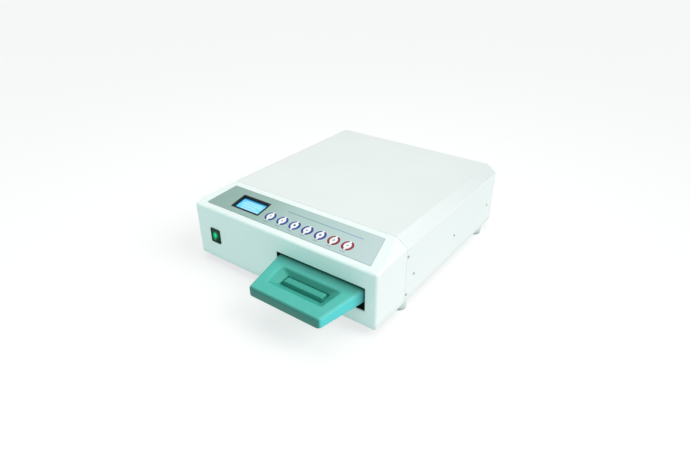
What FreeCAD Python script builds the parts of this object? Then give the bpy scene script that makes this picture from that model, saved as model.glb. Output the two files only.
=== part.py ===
import FreeCAD, Part
import math
import os

Vec = FreeCAD.Vector
ACROSS = Vec(1, 0, 0)
BACK = Vec(0, 1, 0)
UP = Vec(0, 0, 1)

# Case: sizes are taken with the front face at depth 0 and the lower edge at height 0
case_width = 440.0
case_depth = 490.0
case_height = 133.0
front_height = 113.5
seam_depth = 95.0
chamfer_width = 23.0
chamfer_height = 16.5
sheet = 1.5
edge_radius = 5.0
seam_gap = 0.5
fit_gap = 0.2
tab_length = 14.0
tab_root = 4.0
side_tab_bottom = 6.0
side_tab_top = 106.0
pan_side_height = 62.0
pan_end_height = 18.0
rear_recess = 2.0
vent_count = 9
vent_pitch = 14.0
vent_length = 70.0
vent_width = 4.0
vent_setback = 70.0
vent_y = 180.0

# Screws, studs and feet
screw_head_radius = 3.0
screw_head_height = 1.8
screw_radius = 1.5
screw_length = 6.0
screw_play = 0.1
seam_screw_setback = 5.0
seam_screw_heights = (15.6, 98.0)
side_screw_height = 49.0
side_screw_depths = (125.0, 292.0, 459.0)
rear_screw_height = 9.0
rear_screw_setback = 25.0
rear_screw_inner = (-90.0, 30.0)
foot_height = 17.0
foot_radius = 15.5
foot_taper = 0.8
foot_edge = 1.6
foot_side_setback = 14.5
foot_depths = (100.0, 439.0)
stud_radius = 2.5
stud_sink = 8.0
stud_rise = 5.0
nut_across = 8.0
nut_height = 4.0

# Sloping control panel: v runs up the slope from the front edge
overlay_thickness = 0.6
overlay_front = 14.3
overlay_back = 83.5
overlay_front_margin = 22.0
overlay_back_margin = 36.5
overlay_corner = 1.2
key_count = 7
key_first_x = -45.0
key_pitch = 30.0
key_v = 37.3
key_radius = 11.7
key_play = 0.3
key_lift = 0.65
key_edge = 0.5
key_crown = 0.4
key_stem_radius = 2.5
stem_play = 0.4
key_travel_gap = 0.6
board_drop = 14.0
board_thickness = 1.6
board_front = 16.0
board_back = 78.0
board_half = 160.0
tact_size = 6.0
tact_height = 3.5
tact_button_radius = 1.75
tact_button_height = 1.0
post_radius = 3.0
post_places = ((-152.0, 22.0), (-152.0, 73.0), (0.0, 73.0), (60.0, 22.0), (152.0, 22.0), (152.0, 73.0))
display_x = -106.0
display_v = 47.2
display_width = 73.5
display_length = 40.5
bezel_corner = 2.0
bezel_lip = 1.5
bezel_rise = 0.9
bezel_wall = 2.2
bezel_depth = 6.0
window_play = 0.2
glass_thickness = 1.2
module_margin = 3.0

# Lit mains switch
switch_setback = 52.0
switch_height = 54.0
switch_width = 25.5
switch_length = 31.5
switch_flange = 2.0
switch_corner = 1.5
switch_side = 1.7
switch_wall = 1.8
switch_depth = 20.0
rocker_width = 17.6
rocker_half = 10.4
rocker_play = 0.4
rocker_rise = 3.0
rocker_dip = 1.4
rocker_depth = 9.0
rocker_foot_half = 5.0
pivot_depth = 6.5
pivot_radius = 1.8
pivot_play = 0.15
rocker_tilt = 9.0

# Chamber and its slot in the front
slot_setback = 23.0
slot_width = 198.0
slot_bottom = 31.0
slot_height = 48.0
slot_corner = 2.0
rail_height = 4.0
rail_width = 10.0
rail_spacing = 140.0
glide_gap = 0.25
chamber_end_room = 18.0
support_depths = (70.0, 285.0)
support_flange = 16.0
support_half = 88.0

# Cassette: a tray and a lid that meet at a sealed rim
cassette_width = 184.0
cassette_length = 300.0
cassette_front = 12.0
cassette_wall = 1.0
cassette_corner = 11.0
cassette_edge = 4.0
tray_depth = 20.0
lid_depth = 18.0
rim_width = 3.0
seal_thickness = 2.0
seal_width = 3.0
crown_rise = 1.2
crown_margin = 22.0
crown_corner = 8.0
port_spacing = 36.0
port_height = 11.0
port_hole_radius = 5.6
port_bore_radius = 4.3
port_flange_radius = 6.8
port_flange = 2.0

# Cassette handle, a moulded loop, and the thumb latch inside it
handle_reach = 97.0
handle_mouth_half = 95.0
handle_front_half = 77.0
handle_thickness = 20.0
handle_rise = 7.5
handle_corner = 9.0
handle_top_edge = 6.0
handle_low_edge = 4.0
handle_standoff = 2.0
foot_plate_half = 70.0
foot_plate_drop = 10.0
recess_back = 21.5
recess_front = 71.0
recess_back_half = 69.0
recess_front_half = 61.0
recess_depth = 11.5
recess_corner = 8.0
recess_edge = 7.0
recess_overrun = 0.25
opening_back = 27.5
opening_front = 52.5
opening_half = 47.0
latch_back = 31.0
latch_front = 45.0
latch_half = 42.0
latch_spread = 2.5
latch_drop = 3.5
latch_height = 13.0
latch_edge = 2.6
channel_half = 12.0
channel_skin = 2.6
channel_step = 18.0
channel_low = 54.4
arm_half = 9.0
arm_low = 47.6
arm_thickness = 5.0
pin_setback = 12.0
pin_height = 52.0
pin_radius = 1.5
pin_length = 36.0
pin_play = 0.05
boss_radius = 4.0
hook_rise_gap = 0.35
hook_thickness = 1.8
hook_bite = 1.0
hook_root = 4.0
handle_screw_radius = 2.0
handle_screw_spacing = 36.0
handle_screw_count = 4
handle_screw_grip = 5.0
handle_screw_head = 3.5
handle_screw_head_height = 1.6

# Probe block, its two nozzles and the cassette switch behind the chamber
probe_width = 80.0
probe_height = 24.0
probe_depth = 22.0
probe_window_margin = 5.0
nozzle_radius = 4.0
nozzle_bore = 2.0
nozzle_reach = 6.0
nozzle_root = 3.0
micro_width = 20.0
micro_height = 10.0
micro_depth = 11.0
micro_offset = 66.0
micro_button = 1.5
micro_gap = 0.6

# Steam side
generator_offset = 61.0
generator_y = 288.0
generator_radius = 40.0
generator_bottom = 20.0
generator_height = 62.0
generator_foot = 8.0
generator_flange_radius = 45.0
generator_flange = 6.0
generator_rib_count = 5
generator_rib = 3.0
generator_leg_radius = 5.0
generator_leg_circle = 30.0
generator_leg_count = 3
boss_offset = 24.0
hose_boss_radius = 6.5
hose_boss_height = 8.0
hose_radius = 4.0
hose_bore = 2.0
hose_bend = 12.0
hose_top = 118.0
hose_low = 14.0
pump_offset = 68.0
pump_y = 350.0
pump_height = 40.0
pump_coil = 44.0
pump_coil_length = 46.0
pump_neck_radius = 11.0
pump_length = 104.0
pump_end_radius = 5.5
pump_end_length = 14.0
bracket_width = 52.0
valve_x = -72.0
port_x = (-72.0, -26.0)
port_centre_height = 46.0
valve_size = 30.0
valve_length = 36.0
valve_coil_size = 28.0
valve_coil_height = 34.0
fitting_radius = 8.0
fitting_collar_radius = 10.5
fitting_collar = 6.0
fitting_reach = 14.0
fitting_bore = 4.2
fitting_bore_depth = 16.0
fitting_inside = 20.0
air_pump_setback = 24.0
air_pump_gap = 8.0
air_pump_width = 70.0
air_pump_length = 60.0
air_pump_height = 34.0
air_motor_radius = 16.0
air_motor_length = 52.0

# Electrical side
main_board_setback = 15.0
main_board_width = 93.0
main_board_y = (112.0, 240.0)
standoff_height = 10.0
standoff_radius = 3.0
standoff_setback = 6.0
transformer_size = (46.0, 40.0, 34.0)
heat_sink_size = (12.0, 60.0, 30.0)
heat_sink_fins = 5
relay_size = (16.0, 20.0, 15.0)
relay_count = 4
fan_setback = 100.0
fan_height = 62.0
fan_size = 80.0
fan_depth = 25.0
fan_hole_radius = 38.0
fan_blade_radius = 36.5
fan_hub_radius = 17.0
fan_corner = 4.0
fan_strut = 5.0
fan_base = 3.0
fan_shaft_radius = 1.5
fan_shaft_play = 0.1
fan_hub_gap = 1.0
fan_blade_count = 7
fan_blade_width = 15.0
fan_blade_thickness = 1.4
fan_blade_pitch = 38.0
fan_screw_spacing = 71.5
guard_ring_count = 4
guard_wire = 1.6
guard_lug_radius = 5.0
guard_turns = (45.0, 135.0)
inlet_setback = 45.0
inlet_height = 45.0
inlet_width = 50.0
inlet_flange = 3.0
inlet_rise = 28.0
inlet_corner = 6.0
inlet_body_width = 30.0
inlet_body_height = 22.0
inlet_body_depth = 22.0
inlet_mouth_width = 25.0
inlet_mouth_height = 17.0
inlet_mouth_depth = 17.0
inlet_mouth_cut = 5.0
inlet_screw_spacing = 40.0
pin_blade = (2.0, 4.0)
pin_reach = 14.0
pin_pitch = 7.0
pin_raise = 2.0

# Places that follow from the sizes above
half_width = case_width / 2
panel_angle = math.degrees(math.atan2(case_height - front_height, seam_depth))
panel_slope = math.tan(math.radians(panel_angle))
panel_cosine = math.cos(math.radians(panel_angle))
fascia_back = seam_depth - seam_gap / 2
cover_front = seam_depth + seam_gap / 2
inner_half = half_width - sheet - fit_gap
pan_front = sheet + fit_gap
rear_outer = case_depth - rear_recess
rear_inner = rear_outer - sheet
pan_back = rear_inner - fit_gap
rear_screw_places = (rear_screw_setback - half_width,) + rear_screw_inner + (half_width - rear_screw_setback,)
vent_x = vent_setback - half_width
overlay_front_half = half_width - overlay_front_margin
overlay_back_half = half_width - overlay_back_margin
switch_x = switch_setback - half_width
slot_right = half_width - slot_setback
slot_left = slot_right - slot_width
slot_x = slot_right - slot_width / 2
slot_top = slot_bottom + slot_height
chamber_back = cassette_front + cassette_length + chamber_end_room
chamber_rear_face = chamber_back + sheet
probe_back = chamber_rear_face + probe_depth
tray_bottom = slot_bottom + rail_height + glide_gap
tray_rim = tray_bottom + tray_depth
lid_rim = tray_rim + seal_thickness
lid_top = lid_rim + lid_depth
cassette_back = cassette_front + cassette_length
handle_middle = (tray_rim + lid_rim) / 2
handle_bottom = handle_middle - handle_thickness / 2
handle_top = handle_middle + handle_thickness / 2
handle_back = cassette_front - rim_width - handle_standoff
port_level = tray_bottom + port_height
board_top = -board_drop
tact_top = board_top + tact_height + tact_button_height
stem_bottom = tact_top + key_travel_gap
fan_front = rear_inner - fan_depth
fan_x = half_width - fan_setback
inlet_x = inlet_setback - half_width
fitting_front = rear_inner - fitting_inside
valve_front = fitting_front - valve_length
hose_lane = (valve_front - probe_back) / 3
generator_x = slot_left - generator_offset
pump_x = generator_x - pump_offset
pump_front = pump_y - pump_length / 2
pump_back = pump_y + pump_length / 2
generator_top = generator_bottom + generator_height
cover_top = generator_top + generator_flange
boss_top = cover_top + hose_boss_height
air_pump_x = half_width - air_pump_setback - air_pump_width / 2
air_pump_y = fan_front - air_pump_gap - air_pump_length / 2
main_board_left = main_board_setback - half_width
main_board_x = (main_board_left, main_board_left + main_board_width)
deepest = rear_outer + fitting_reach
frame_shift = Vec(0, (handle_reach - deepest) / 2, foot_height)


def block(x_limits, y_limits, z_limits):
    """A rectangular solid between the given limits."""
    corner = Vec(x_limits[0], y_limits[0], z_limits[0])
    size = Vec(x_limits[1], y_limits[1], z_limits[1]) - corner
    return Part.makeBox(size.x, size.y, size.z, corner)


def prism(points, run):
    """The closed outline through the points, pushed along run."""
    return Part.Face(Part.makePolygon(points + points[:1])).extrude(run)


def turned(points):
    """A solid turned about the local Z axis from (radius, height) points."""
    outline = Part.makePolygon([Vec(radius, 0, height) for radius, height in points + points[:1]])
    return Part.Face(outline).revolve(Vec(0, 0, 0), UP, 360)


def aimed(shape, position, direction):
    """The shape moved to the position, with its local Z axis along the direction."""
    aim = FreeCAD.Placement(position, FreeCAD.Rotation(UP, direction))
    shape.Placement = aim.multiply(shape.Placement)
    return shape


def is_upright(edge):
    """True for an edge that runs straight up."""
    first = edge.Vertexes[0].Point
    last = edge.Vertexes[-1].Point
    return (last - first).cross(UP).Length < sheet / 100 and abs(last.z - first.z) > sheet / 100


def edges_at(shape, height):
    """The edges that lie flat at one height."""
    return [edge for edge in shape.Edges
            if abs(edge.BoundBox.ZMin - height) < sheet / 100
            and abs(edge.BoundBox.ZMax - height) < sheet / 100]


def rounded_plate(width, length, radius, low, high):
    """A plate centred on the local Z axis, with rounded upright corners."""
    plate = block((-width / 2, width / 2), (-length / 2, length / 2), (low, high))
    return plate.makeFillet(radius, [edge for edge in plate.Edges if is_upright(edge)])


def moved(shape, x, y, z):
    """The shape moved by the given steps."""
    shape.translate(Vec(x, y, z))
    return shape


def on_panel(shape):
    """A shape drawn flat, with its own Y up the slope, set on the sloping panel."""
    tilt = FreeCAD.Placement(Vec(0, 0, front_height), FreeCAD.Rotation(ACROSS, panel_angle))
    shape.Placement = tilt.multiply(shape.Placement)
    return shape


def facing_front(shape, x, height):
    """A shape drawn flat, with its own Y up, turned so that its Z points out of the front face."""
    stand = FreeCAD.Placement(Vec(x, 0, height), FreeCAD.Rotation(ACROSS, 90))
    shape.Placement = stand.multiply(shape.Placement)
    return shape


def facing_rear(shape, x, height):
    """A shape drawn flat, with its own Y up, turned so that its Z points out of the rear panel."""
    turn = FreeCAD.Rotation(UP, 180).multiply(FreeCAD.Rotation(ACROSS, 90))
    stand = FreeCAD.Placement(Vec(x, rear_outer, height), turn)
    shape.Placement = stand.multiply(shape.Placement)
    return shape


def screw(position, direction, length):
    """A pan-head screw whose head bears at the position."""
    head = screw_head_radius
    profile = [(0, -screw_head_height), (head / 2, -screw_head_height), (head, -screw_head_height / 3),
               (head, 0), (screw_radius, 0), (screw_radius, length), (0, length)]
    return aimed(turned(profile), position, direction)


def screw_hole(position, direction, length):
    """The clearance hole of a screw, through everything within its length."""
    start = position - direction * screw_head_height
    return Part.makeCylinder(screw_radius + screw_play, length + 2 * screw_head_height, start, direction)


def hose(points):
    """A round hose along straight runs joined by tangent bends."""
    edges = []
    start = points[0]
    for before, corner, after in zip(points, points[1:], points[2:]):
        inward = (before - corner).normalize()
        outward = (after - corner).normalize()
        half_turn = inward.getAngle(outward) / 2
        reach = hose_bend / math.tan(half_turn)
        middle = corner + (inward + outward).normalize() * (hose_bend / math.sin(half_turn) - hose_bend)
        edges.append(Part.LineSegment(start, corner + inward * reach).toShape())
        edges.append(Part.Arc(corner + inward * reach, middle, corner + outward * reach).toShape())
        start = corner + outward * reach
    edges.append(Part.LineSegment(start, points[-1]).toShape())
    path = Part.Wire(edges)
    axis = (points[1] - points[0]).normalize()
    rings = [Part.Wire(Part.makeCircle(radius, points[0], axis)) for radius in (hose_radius, hose_bore)]
    outside, inside = [path.makePipeShell([ring], True, False) for ring in rings]
    return outside.cut(inside)


def side_screw_places():
    """Where the cover's screws bear: the height and depth of each, on both sides."""
    seam_places = [(seam_depth + seam_screw_setback, height) for height in seam_screw_heights]
    places = seam_places + [(depth, side_screw_height) for depth in side_screw_depths]
    right = [(Vec(half_width, depth, height), Vec(-1, 0, 0)) for depth, height in places]
    left = [(Vec(-half_width, depth, height), ACROSS) for depth, height in places]
    return right + left


def rear_screw_bearings():
    """Where the rear screws bear: along the pan, round the fan and beside the mains inlet."""
    along_pan = [Vec(x, rear_outer, rear_screw_height) for x in rear_screw_places]
    step = fan_screw_spacing / 2
    round_fan = [Vec(fan_x + i * step, rear_outer + guard_wire, fan_height + k * step)
                 for i in (-1, 1) for k in (-1, 1)]
    beside_inlet = [Vec(inlet_x + i * inlet_screw_spacing / 2, rear_outer + inlet_flange, inlet_height)
                    for i in (-1, 1)]
    return along_pan + round_fan + beside_inlet


def drill(shape, places, length):
    """The shape with a clearance hole for each screw."""
    for position, direction in places:
        shape = shape.cut(screw_hole(position, direction, length))
    return shape


def foot_places():
    """The centre of each foot at the underside of the case."""
    x = half_width - foot_side_setback
    return [Vec(side * x, depth, 0) for depth in foot_depths for side in (-1, 1)]


def section_block(inset, front, back):
    """The case's chamfered cross-section, inset all round, between two depths."""
    half = half_width - inset
    top = case_height - inset
    slant = math.hypot(chamfer_width, chamfer_height)
    reach = chamfer_height * half_width + chamfer_width * (case_height - chamfer_height) - inset * slant
    shoulder = (reach - chamfer_height * half) / chamfer_width
    ridge = (reach - chamfer_width * top) / chamfer_height
    right = [(half, 0), (half, shoulder), (ridge, top)]
    left = [(-x, z) for x, z in reversed(right)]
    return prism([Vec(x, front, z) for x, z in right + left], Vec(0, back - front, 0))


def rounded_section(inset, front, back):
    """The cross-section with its four bends rounded."""
    solid = section_block(inset, front, back)
    bends = [edge for edge in solid.Edges
             if edge.BoundBox.YLength > (back - front) / 2 and edge.BoundBox.ZMin > sheet]
    return solid.makeFillet(edge_radius - inset, bends)


def fascia_block(inset):
    """The front part of the case with its sloping panel, inset on every side that shows."""
    lift = inset / panel_cosine
    low = front_height + inset * panel_slope - lift
    high = front_height + fascia_back * panel_slope - lift
    profile = [(inset, 0), (inset, low), (fascia_back, high), (fascia_back, 0)]
    wedge = prism([Vec(-case_width, y, z) for y, z in profile], Vec(2 * case_width, 0, 0))
    solid = wedge.common(section_block(inset, -sheet, case_depth)).removeSplitter()
    shown = [edge for edge in solid.Edges
             if edge.BoundBox.YMin < fascia_back - sheet and edge.BoundBox.ZMax > sheet]
    return solid.makeFillet(edge_radius - inset, shown)


def front_fascia():
    """Folded front panel with its cut-outs and the tabs that the cover is screwed to."""
    shell = fascia_block(0).cut(fascia_block(sheet))
    tab_depths = (fascia_back - tab_root, seam_depth + tab_length)
    top_half = half_width - chamfer_width - 2 * edge_radius
    under_cover = (case_height - 2 * sheet, case_height - sheet)
    shell = shell.fuse(block((-top_half, top_half), tab_depths, under_cover))
    side_heights = (side_tab_bottom, side_tab_top)
    for side in (-1, 1):
        limits = sorted((side * (half_width - 2 * sheet), side * (half_width - sheet)))
        shell = shell.fuse(block(limits, tab_depths, side_heights))
    slot = rounded_plate(slot_width, slot_height, slot_corner, -2 * sheet, sheet)
    shell = shell.cut(facing_front(slot, slot_x, slot_bottom + slot_height / 2))
    switch_cut = rounded_plate(switch_width - 2 * switch_side + 2 * window_play,
                               switch_length - 2 * switch_side + 2 * window_play, switch_corner,
                               -2 * sheet, sheet)
    shell = shell.cut(facing_front(switch_cut, switch_x, switch_height))
    shell = shell.cut(display_cut(display_width - 2 * bezel_lip, display_length - 2 * bezel_lip))
    for index in range(key_count):
        hole = Part.makeCylinder(key_stem_radius + stem_play, 4 * sheet, key_place(index) - UP * 2 * sheet)
        shell = shell.cut(on_panel(hole))
    return drill(shell, side_screw_places(), screw_length).removeSplitter()


def key_place(index):
    """The centre of a key on the flat drawing of the panel."""
    return Vec(key_first_x + index * key_pitch, key_v, 0)


def display_cut(width, length):
    """The cutter of the display's window, with play all round."""
    cutter = rounded_plate(width + 2 * window_play, length + 2 * window_play, bezel_corner,
                           -2 * sheet, 2 * sheet)
    return on_panel(moved(cutter, display_x, display_v, 0))


def top_cover():
    """Folded cover: the top, both chamfers and both sides in one sheet."""
    outside = rounded_section(0, cover_front, case_depth)
    inside = rounded_section(sheet, cover_front, case_depth)
    return drill(outside.cut(inside), side_screw_places(), screw_length)


def base_pan():
    """Pan with upturned sides and ends, vents and holes for the feet."""
    ends = (pan_front, pan_back)
    pan = block((-inner_half, inner_half), ends, (0, sheet))
    front_corners = [edge for edge in pan.Edges if is_upright(edge) and edge.BoundBox.YMax < seam_depth]
    pan = pan.makeFillet(edge_radius, front_corners)
    for edge in (pan_front, pan_back - sheet):
        pan = pan.fuse(block((-inner_half + edge_radius, inner_half - edge_radius), (edge, edge + sheet),
                             (0, pan_end_height)))
    behind_tabs = seam_depth + tab_length + sheet
    for side in (-1, 1):
        limits = sorted((side * (inner_half - sheet), side * inner_half))
        pan = pan.fuse(block(limits, (behind_tabs, pan_back), (0, pan_side_height)))
    for index in range(vent_count):
        vent = rounded_plate(vent_length, vent_width, vent_width / 2 - fit_gap, -sheet, 2 * sheet)
        pan = pan.cut(moved(vent, vent_x, vent_y + index * vent_pitch, 0))
    for place in foot_places():
        pan = pan.cut(Part.makeCylinder(stud_radius + screw_play, 4 * sheet, place - UP * 2 * sheet))
    pan = drill(pan, side_screw_places(), screw_length)
    rear = [(Vec(x, rear_outer, rear_screw_height), -BACK) for x in rear_screw_places]
    return drill(pan, rear, screw_length).removeSplitter()


def rear_panel():
    """Flat rear panel with the openings for the fan, the mains inlet and the two fittings."""
    panel = rounded_section(sheet + fit_gap, rear_inner, rear_outer)
    fan_start = Vec(fan_x, rear_inner - sheet, fan_height)
    panel = panel.cut(Part.makeCylinder(fan_hole_radius, 4 * sheet, fan_start, BACK))
    inlet = rounded_plate(inlet_body_width + 2 * window_play, inlet_body_height + 2 * window_play,
                          switch_corner, -2 * sheet, sheet)
    panel = panel.cut(facing_rear(inlet, inlet_x, inlet_height))
    for x in port_x:
        start = Vec(x, rear_inner - sheet, port_centre_height)
        panel = panel.cut(Part.makeCylinder(fitting_radius + fit_gap, 4 * sheet, start, BACK))
    bearings = [(place, -BACK) for place in rear_screw_bearings()]
    return drill(panel, bearings, screw_length)


def cover_screws():
    """The screws that hold the cover, ten in all."""
    screws = [screw(place, direction, screw_length) for place, direction in side_screw_places()]
    return Part.makeCompound(screws)


def rear_screws():
    """The screws of the rear panel, the fan and the mains inlet."""
    return Part.makeCompound([screw(place, -BACK, screw_length) for place in rear_screw_bearings()])


def rubber_feet():
    """Four moulded feet, each on a stud."""
    low = foot_radius - foot_taper
    profile = [(0, -foot_height), (low - foot_edge, -foot_height), (low, -foot_height + foot_edge),
               (foot_radius, 0), (0, 0)]
    feet = []
    for place in foot_places():
        foot = aimed(turned(profile), place, UP)
        feet.append(foot.cut(Part.makeCylinder(stud_radius + screw_play, stud_sink, place - UP * stud_sink)))
    return Part.makeCompound(feet)


def foot_studs():
    """The studs of the feet with their nuts on the floor of the pan."""
    studs = []
    circle = nut_across / math.sqrt(3)
    angles = [i * math.pi / 3 for i in range(6)]
    corners = [Vec(circle * math.cos(angle), circle * math.sin(angle), sheet) for angle in angles]
    for place in foot_places():
        stud = Part.makeCylinder(stud_radius, stud_sink + sheet + stud_rise, place - UP * stud_sink)
        nut = prism(corners, UP * nut_height)
        studs.append(stud.fuse(moved(nut, place.x, place.y, 0)).removeSplitter())
    return Part.makeCompound(studs)


def control_overlay():
    """Thin printed sheet on the sloping panel, narrower towards the back."""
    corners = [Vec(-overlay_front_half, overlay_front, 0), Vec(overlay_front_half, overlay_front, 0),
               Vec(overlay_back_half, overlay_back, 0), Vec(-overlay_back_half, overlay_back, 0)]
    film = prism(corners, UP * overlay_thickness)
    film = film.makeFillet(overlay_corner, [edge for edge in film.Edges if is_upright(edge)])
    for index in range(key_count):
        hole = Part.makeCylinder(key_radius + key_play, 4 * sheet, key_place(index) - UP * 2 * sheet)
        film = film.cut(hole)
    return on_panel(film).cut(display_cut(display_width, display_length))


def key(index):
    """One round key with a low crown and the stem that works its switch."""
    top = key_lift + key_edge + key_crown
    crown_radius = (key_radius ** 2 + key_crown ** 2) / (2 * key_crown)
    ball = Part.makeSphere(crown_radius, UP * (top - crown_radius))
    cap = Part.makeCylinder(key_radius, key_edge + key_crown, UP * key_lift).common(ball)
    stem = Part.makeCylinder(key_stem_radius, key_lift - stem_bottom, UP * stem_bottom)
    cap = cap.fuse(stem).removeSplitter()
    cap.translate(key_place(index))
    return on_panel(cap)


def keypad_board():
    """Circuit board under the sloping panel."""
    limits = (board_top - board_thickness, board_top)
    return on_panel(block((-board_half, board_half), (board_front, board_back), limits))


def key_switches():
    """A small push switch under each key."""
    switches = []
    for index in range(key_count):
        body = rounded_plate(tact_size, tact_size, fit_gap, board_top, board_top + tact_height)
        button = Part.makeCylinder(tact_button_radius, tact_button_height, UP * (board_top + tact_height))
        switch = body.fuse(button)
        switch.translate(key_place(index))
        switches.append(on_panel(switch))
    return Part.makeCompound(switches)


def panel_posts():
    """Posts between the sloping panel and its circuit board."""
    length = board_drop - sheet
    posts = [on_panel(Part.makeCylinder(post_radius, length, Vec(x, v, board_top))) for x, v in post_places]
    return Part.makeCompound(posts)


def display_bezel():
    """Deep frame of the display, hung in the panel by its lip."""
    lip = rounded_plate(display_width, display_length, bezel_corner, 0, bezel_rise)
    body = rounded_plate(display_width - 2 * bezel_lip, display_length - 2 * bezel_lip, bezel_corner,
                         -bezel_depth, 0)
    opening = rounded_plate(display_width - 2 * (bezel_lip + bezel_wall),
                            display_length - 2 * (bezel_lip + bezel_wall), bezel_corner / 2,
                            -2 * bezel_depth, bezel_depth)
    frame = lip.fuse(body).cut(opening).removeSplitter()
    return on_panel(moved(frame, display_x, display_v, 0))


def display_glass():
    """Window of the display, at the bottom of its frame."""
    margin = 2 * (bezel_lip + bezel_wall + fit_gap)
    pane = rounded_plate(display_width - margin, display_length - margin, bezel_corner / 2,
                         -bezel_depth, -bezel_depth + glass_thickness)
    return on_panel(moved(pane, display_x, display_v, 0))


def display_module():
    """Display unit, between the frame and the circuit board."""
    body = rounded_plate(display_width + module_margin, display_length + module_margin, bezel_corner,
                         board_top, -bezel_depth)
    return on_panel(moved(body, display_x, display_v, 0))


def switch_housing():
    """Frame of the mains switch, snapped into the front, with its hollow body."""
    flange = rounded_plate(switch_width, switch_length, switch_corner, 0, switch_flange)
    body = rounded_plate(switch_width - 2 * switch_side, switch_length - 2 * switch_side, switch_corner,
                         -switch_depth, 0)
    inside_length = switch_length - 2 * (switch_side + switch_wall)
    well = rounded_plate(rocker_width + 2 * rocker_play, inside_length, switch_corner / 2,
                         switch_wall - switch_depth, 2 * switch_flange)
    trunnion = Part.makeCylinder(pivot_radius + pivot_play, case_width / 4,
                                 Vec(-case_width / 8, 0, -pivot_depth), ACROSS)
    pocket_half = switch_width / 2 - switch_side - switch_wall / 2
    reach = block((-pocket_half, pocket_half), (-pivot_radius * 2, pivot_radius * 2), (-switch_depth, 0))
    frame = flange.fuse(body).removeSplitter().cut(well).cut(trunnion.common(reach))
    return facing_front(frame, switch_x, switch_height)


def switch_rocker():
    """Rocker with two slopes, on two stub pivots, resting with its upper end pressed in."""
    profile = [(-rocker_half, rocker_rise), (0, rocker_dip), (rocker_half, rocker_rise),
               (rocker_half, -rocker_dip), (rocker_foot_half, -rocker_depth),
               (-rocker_foot_half, -rocker_depth), (-rocker_half, -rocker_dip)]
    body = prism([Vec(-rocker_width / 2, y, z) for y, z in profile], ACROSS * rocker_width)
    pivot_half = switch_width / 2 - switch_side - switch_wall / 2 - pivot_play
    pivots = Part.makeCylinder(pivot_radius, 2 * pivot_half, Vec(-pivot_half, 0, -pivot_depth), ACROSS)
    rocker = body.fuse(pivots).removeSplitter()
    rocker.rotate(Vec(0, 0, -pivot_depth), ACROSS, -rocker_tilt)
    return facing_front(rocker, switch_x, switch_height)


def chamber_sleeve():
    """Sheet tunnel behind the slot, open at the front, with a window for the nozzles at its end."""
    outside = block((slot_left - sheet, slot_right + sheet), (pan_front, chamber_rear_face),
                    (slot_bottom - sheet, slot_top + sheet))
    inside = block((slot_left, slot_right), (0, chamber_back), (slot_bottom, slot_top))
    half = probe_width / 2 - 2 * probe_window_margin
    rise = probe_height / 2 - probe_window_margin
    window = block((slot_x - half, slot_x + half), (chamber_back - sheet, case_depth),
                   (port_level - rise, port_level + rise))
    return outside.cut(inside).cut(window)


def guide_rails():
    """Two low rails on the chamber's floor that the cassette slides on."""
    rails = []
    for side in (-1, 1):
        middle = slot_x + side * rail_spacing / 2
        rail = block((middle - rail_width / 2, middle + rail_width / 2),
                     (pan_front, chamber_back - chamber_end_room), (slot_bottom, slot_bottom + rail_height))
        rails.append(rail)
    return Part.makeCompound(rails)


def sleeve_supports():
    """Two folded channels that carry the chamber on the pan."""
    low = sheet
    high = slot_bottom - sheet
    profile = [(0, low), (support_flange, low), (support_flange, low + sheet), (sheet, low + sheet),
               (sheet, high - sheet), (support_flange, high - sheet), (support_flange, high), (0, high)]
    channels = []
    for depth in support_depths:
        points = [Vec(slot_x - support_half, depth + y, z) for y, z in profile]
        channels.append(prism(points, ACROSS * (2 * support_half)))
    return Part.makeCompound(channels)


def cassette_block(inset, low, high):
    """The cassette's plan between two heights, with rounded corners, inset all round."""
    plate = rounded_plate(cassette_width - 2 * inset, cassette_length - 2 * inset, cassette_corner - inset,
                          low, high)
    return moved(plate, slot_x, cassette_front + cassette_length / 2, 0)


def crown_block(inset, low, high):
    """The plan of the lid's raised panel between two heights, inset all round."""
    margin = 2 * (crown_margin + inset)
    plate = rounded_plate(cassette_width - margin, cassette_length - margin, crown_corner - inset, low, high)
    return moved(plate, slot_x, cassette_front + cassette_length / 2, 0)


def cassette_ring(outset, inset, low, high):
    """A flat ring round the cassette's plan."""
    return cassette_block(-outset, low, high).cut(cassette_block(inset, low - sheet, high + sheet))


def port_places():
    """The two ports in the tray's rear wall."""
    return [Vec(slot_x + side * port_spacing / 2, cassette_back, port_level) for side in (-1, 1)]


def handle_screw_places():
    """Where the handle's screws pass through the tray's front wall."""
    first = slot_x - handle_screw_spacing * (handle_screw_count - 1) / 2
    height = (tray_bottom + tray_rim - rim_width) / 2
    return [Vec(first + i * handle_screw_spacing, cassette_front, height) for i in range(handle_screw_count)]


def cassette_tray():
    """Drawn tray with a flat rim, two ports at the back and the handle's screw holes in front."""
    outside = cassette_block(0, tray_bottom, tray_rim)
    outside = outside.makeFillet(cassette_edge, edges_at(outside, tray_bottom))
    inside = cassette_block(cassette_wall, tray_bottom + cassette_wall, tray_rim + sheet)
    inside = inside.makeFillet(cassette_edge - cassette_wall, edges_at(inside, tray_bottom + cassette_wall))
    rim = cassette_ring(rim_width, cassette_wall, tray_rim - cassette_wall, tray_rim)
    tray = outside.cut(inside).fuse(rim).removeSplitter()
    for place in port_places():
        start = place - BACK * 4 * cassette_wall
        tray = tray.cut(Part.makeCylinder(port_hole_radius, 8 * cassette_wall, start, BACK))
    for place in handle_screw_places():
        start = place - BACK * 2 * cassette_wall
        tray = tray.cut(Part.makeCylinder(handle_screw_radius + screw_play, 4 * cassette_wall, start, BACK))
    return tray


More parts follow.
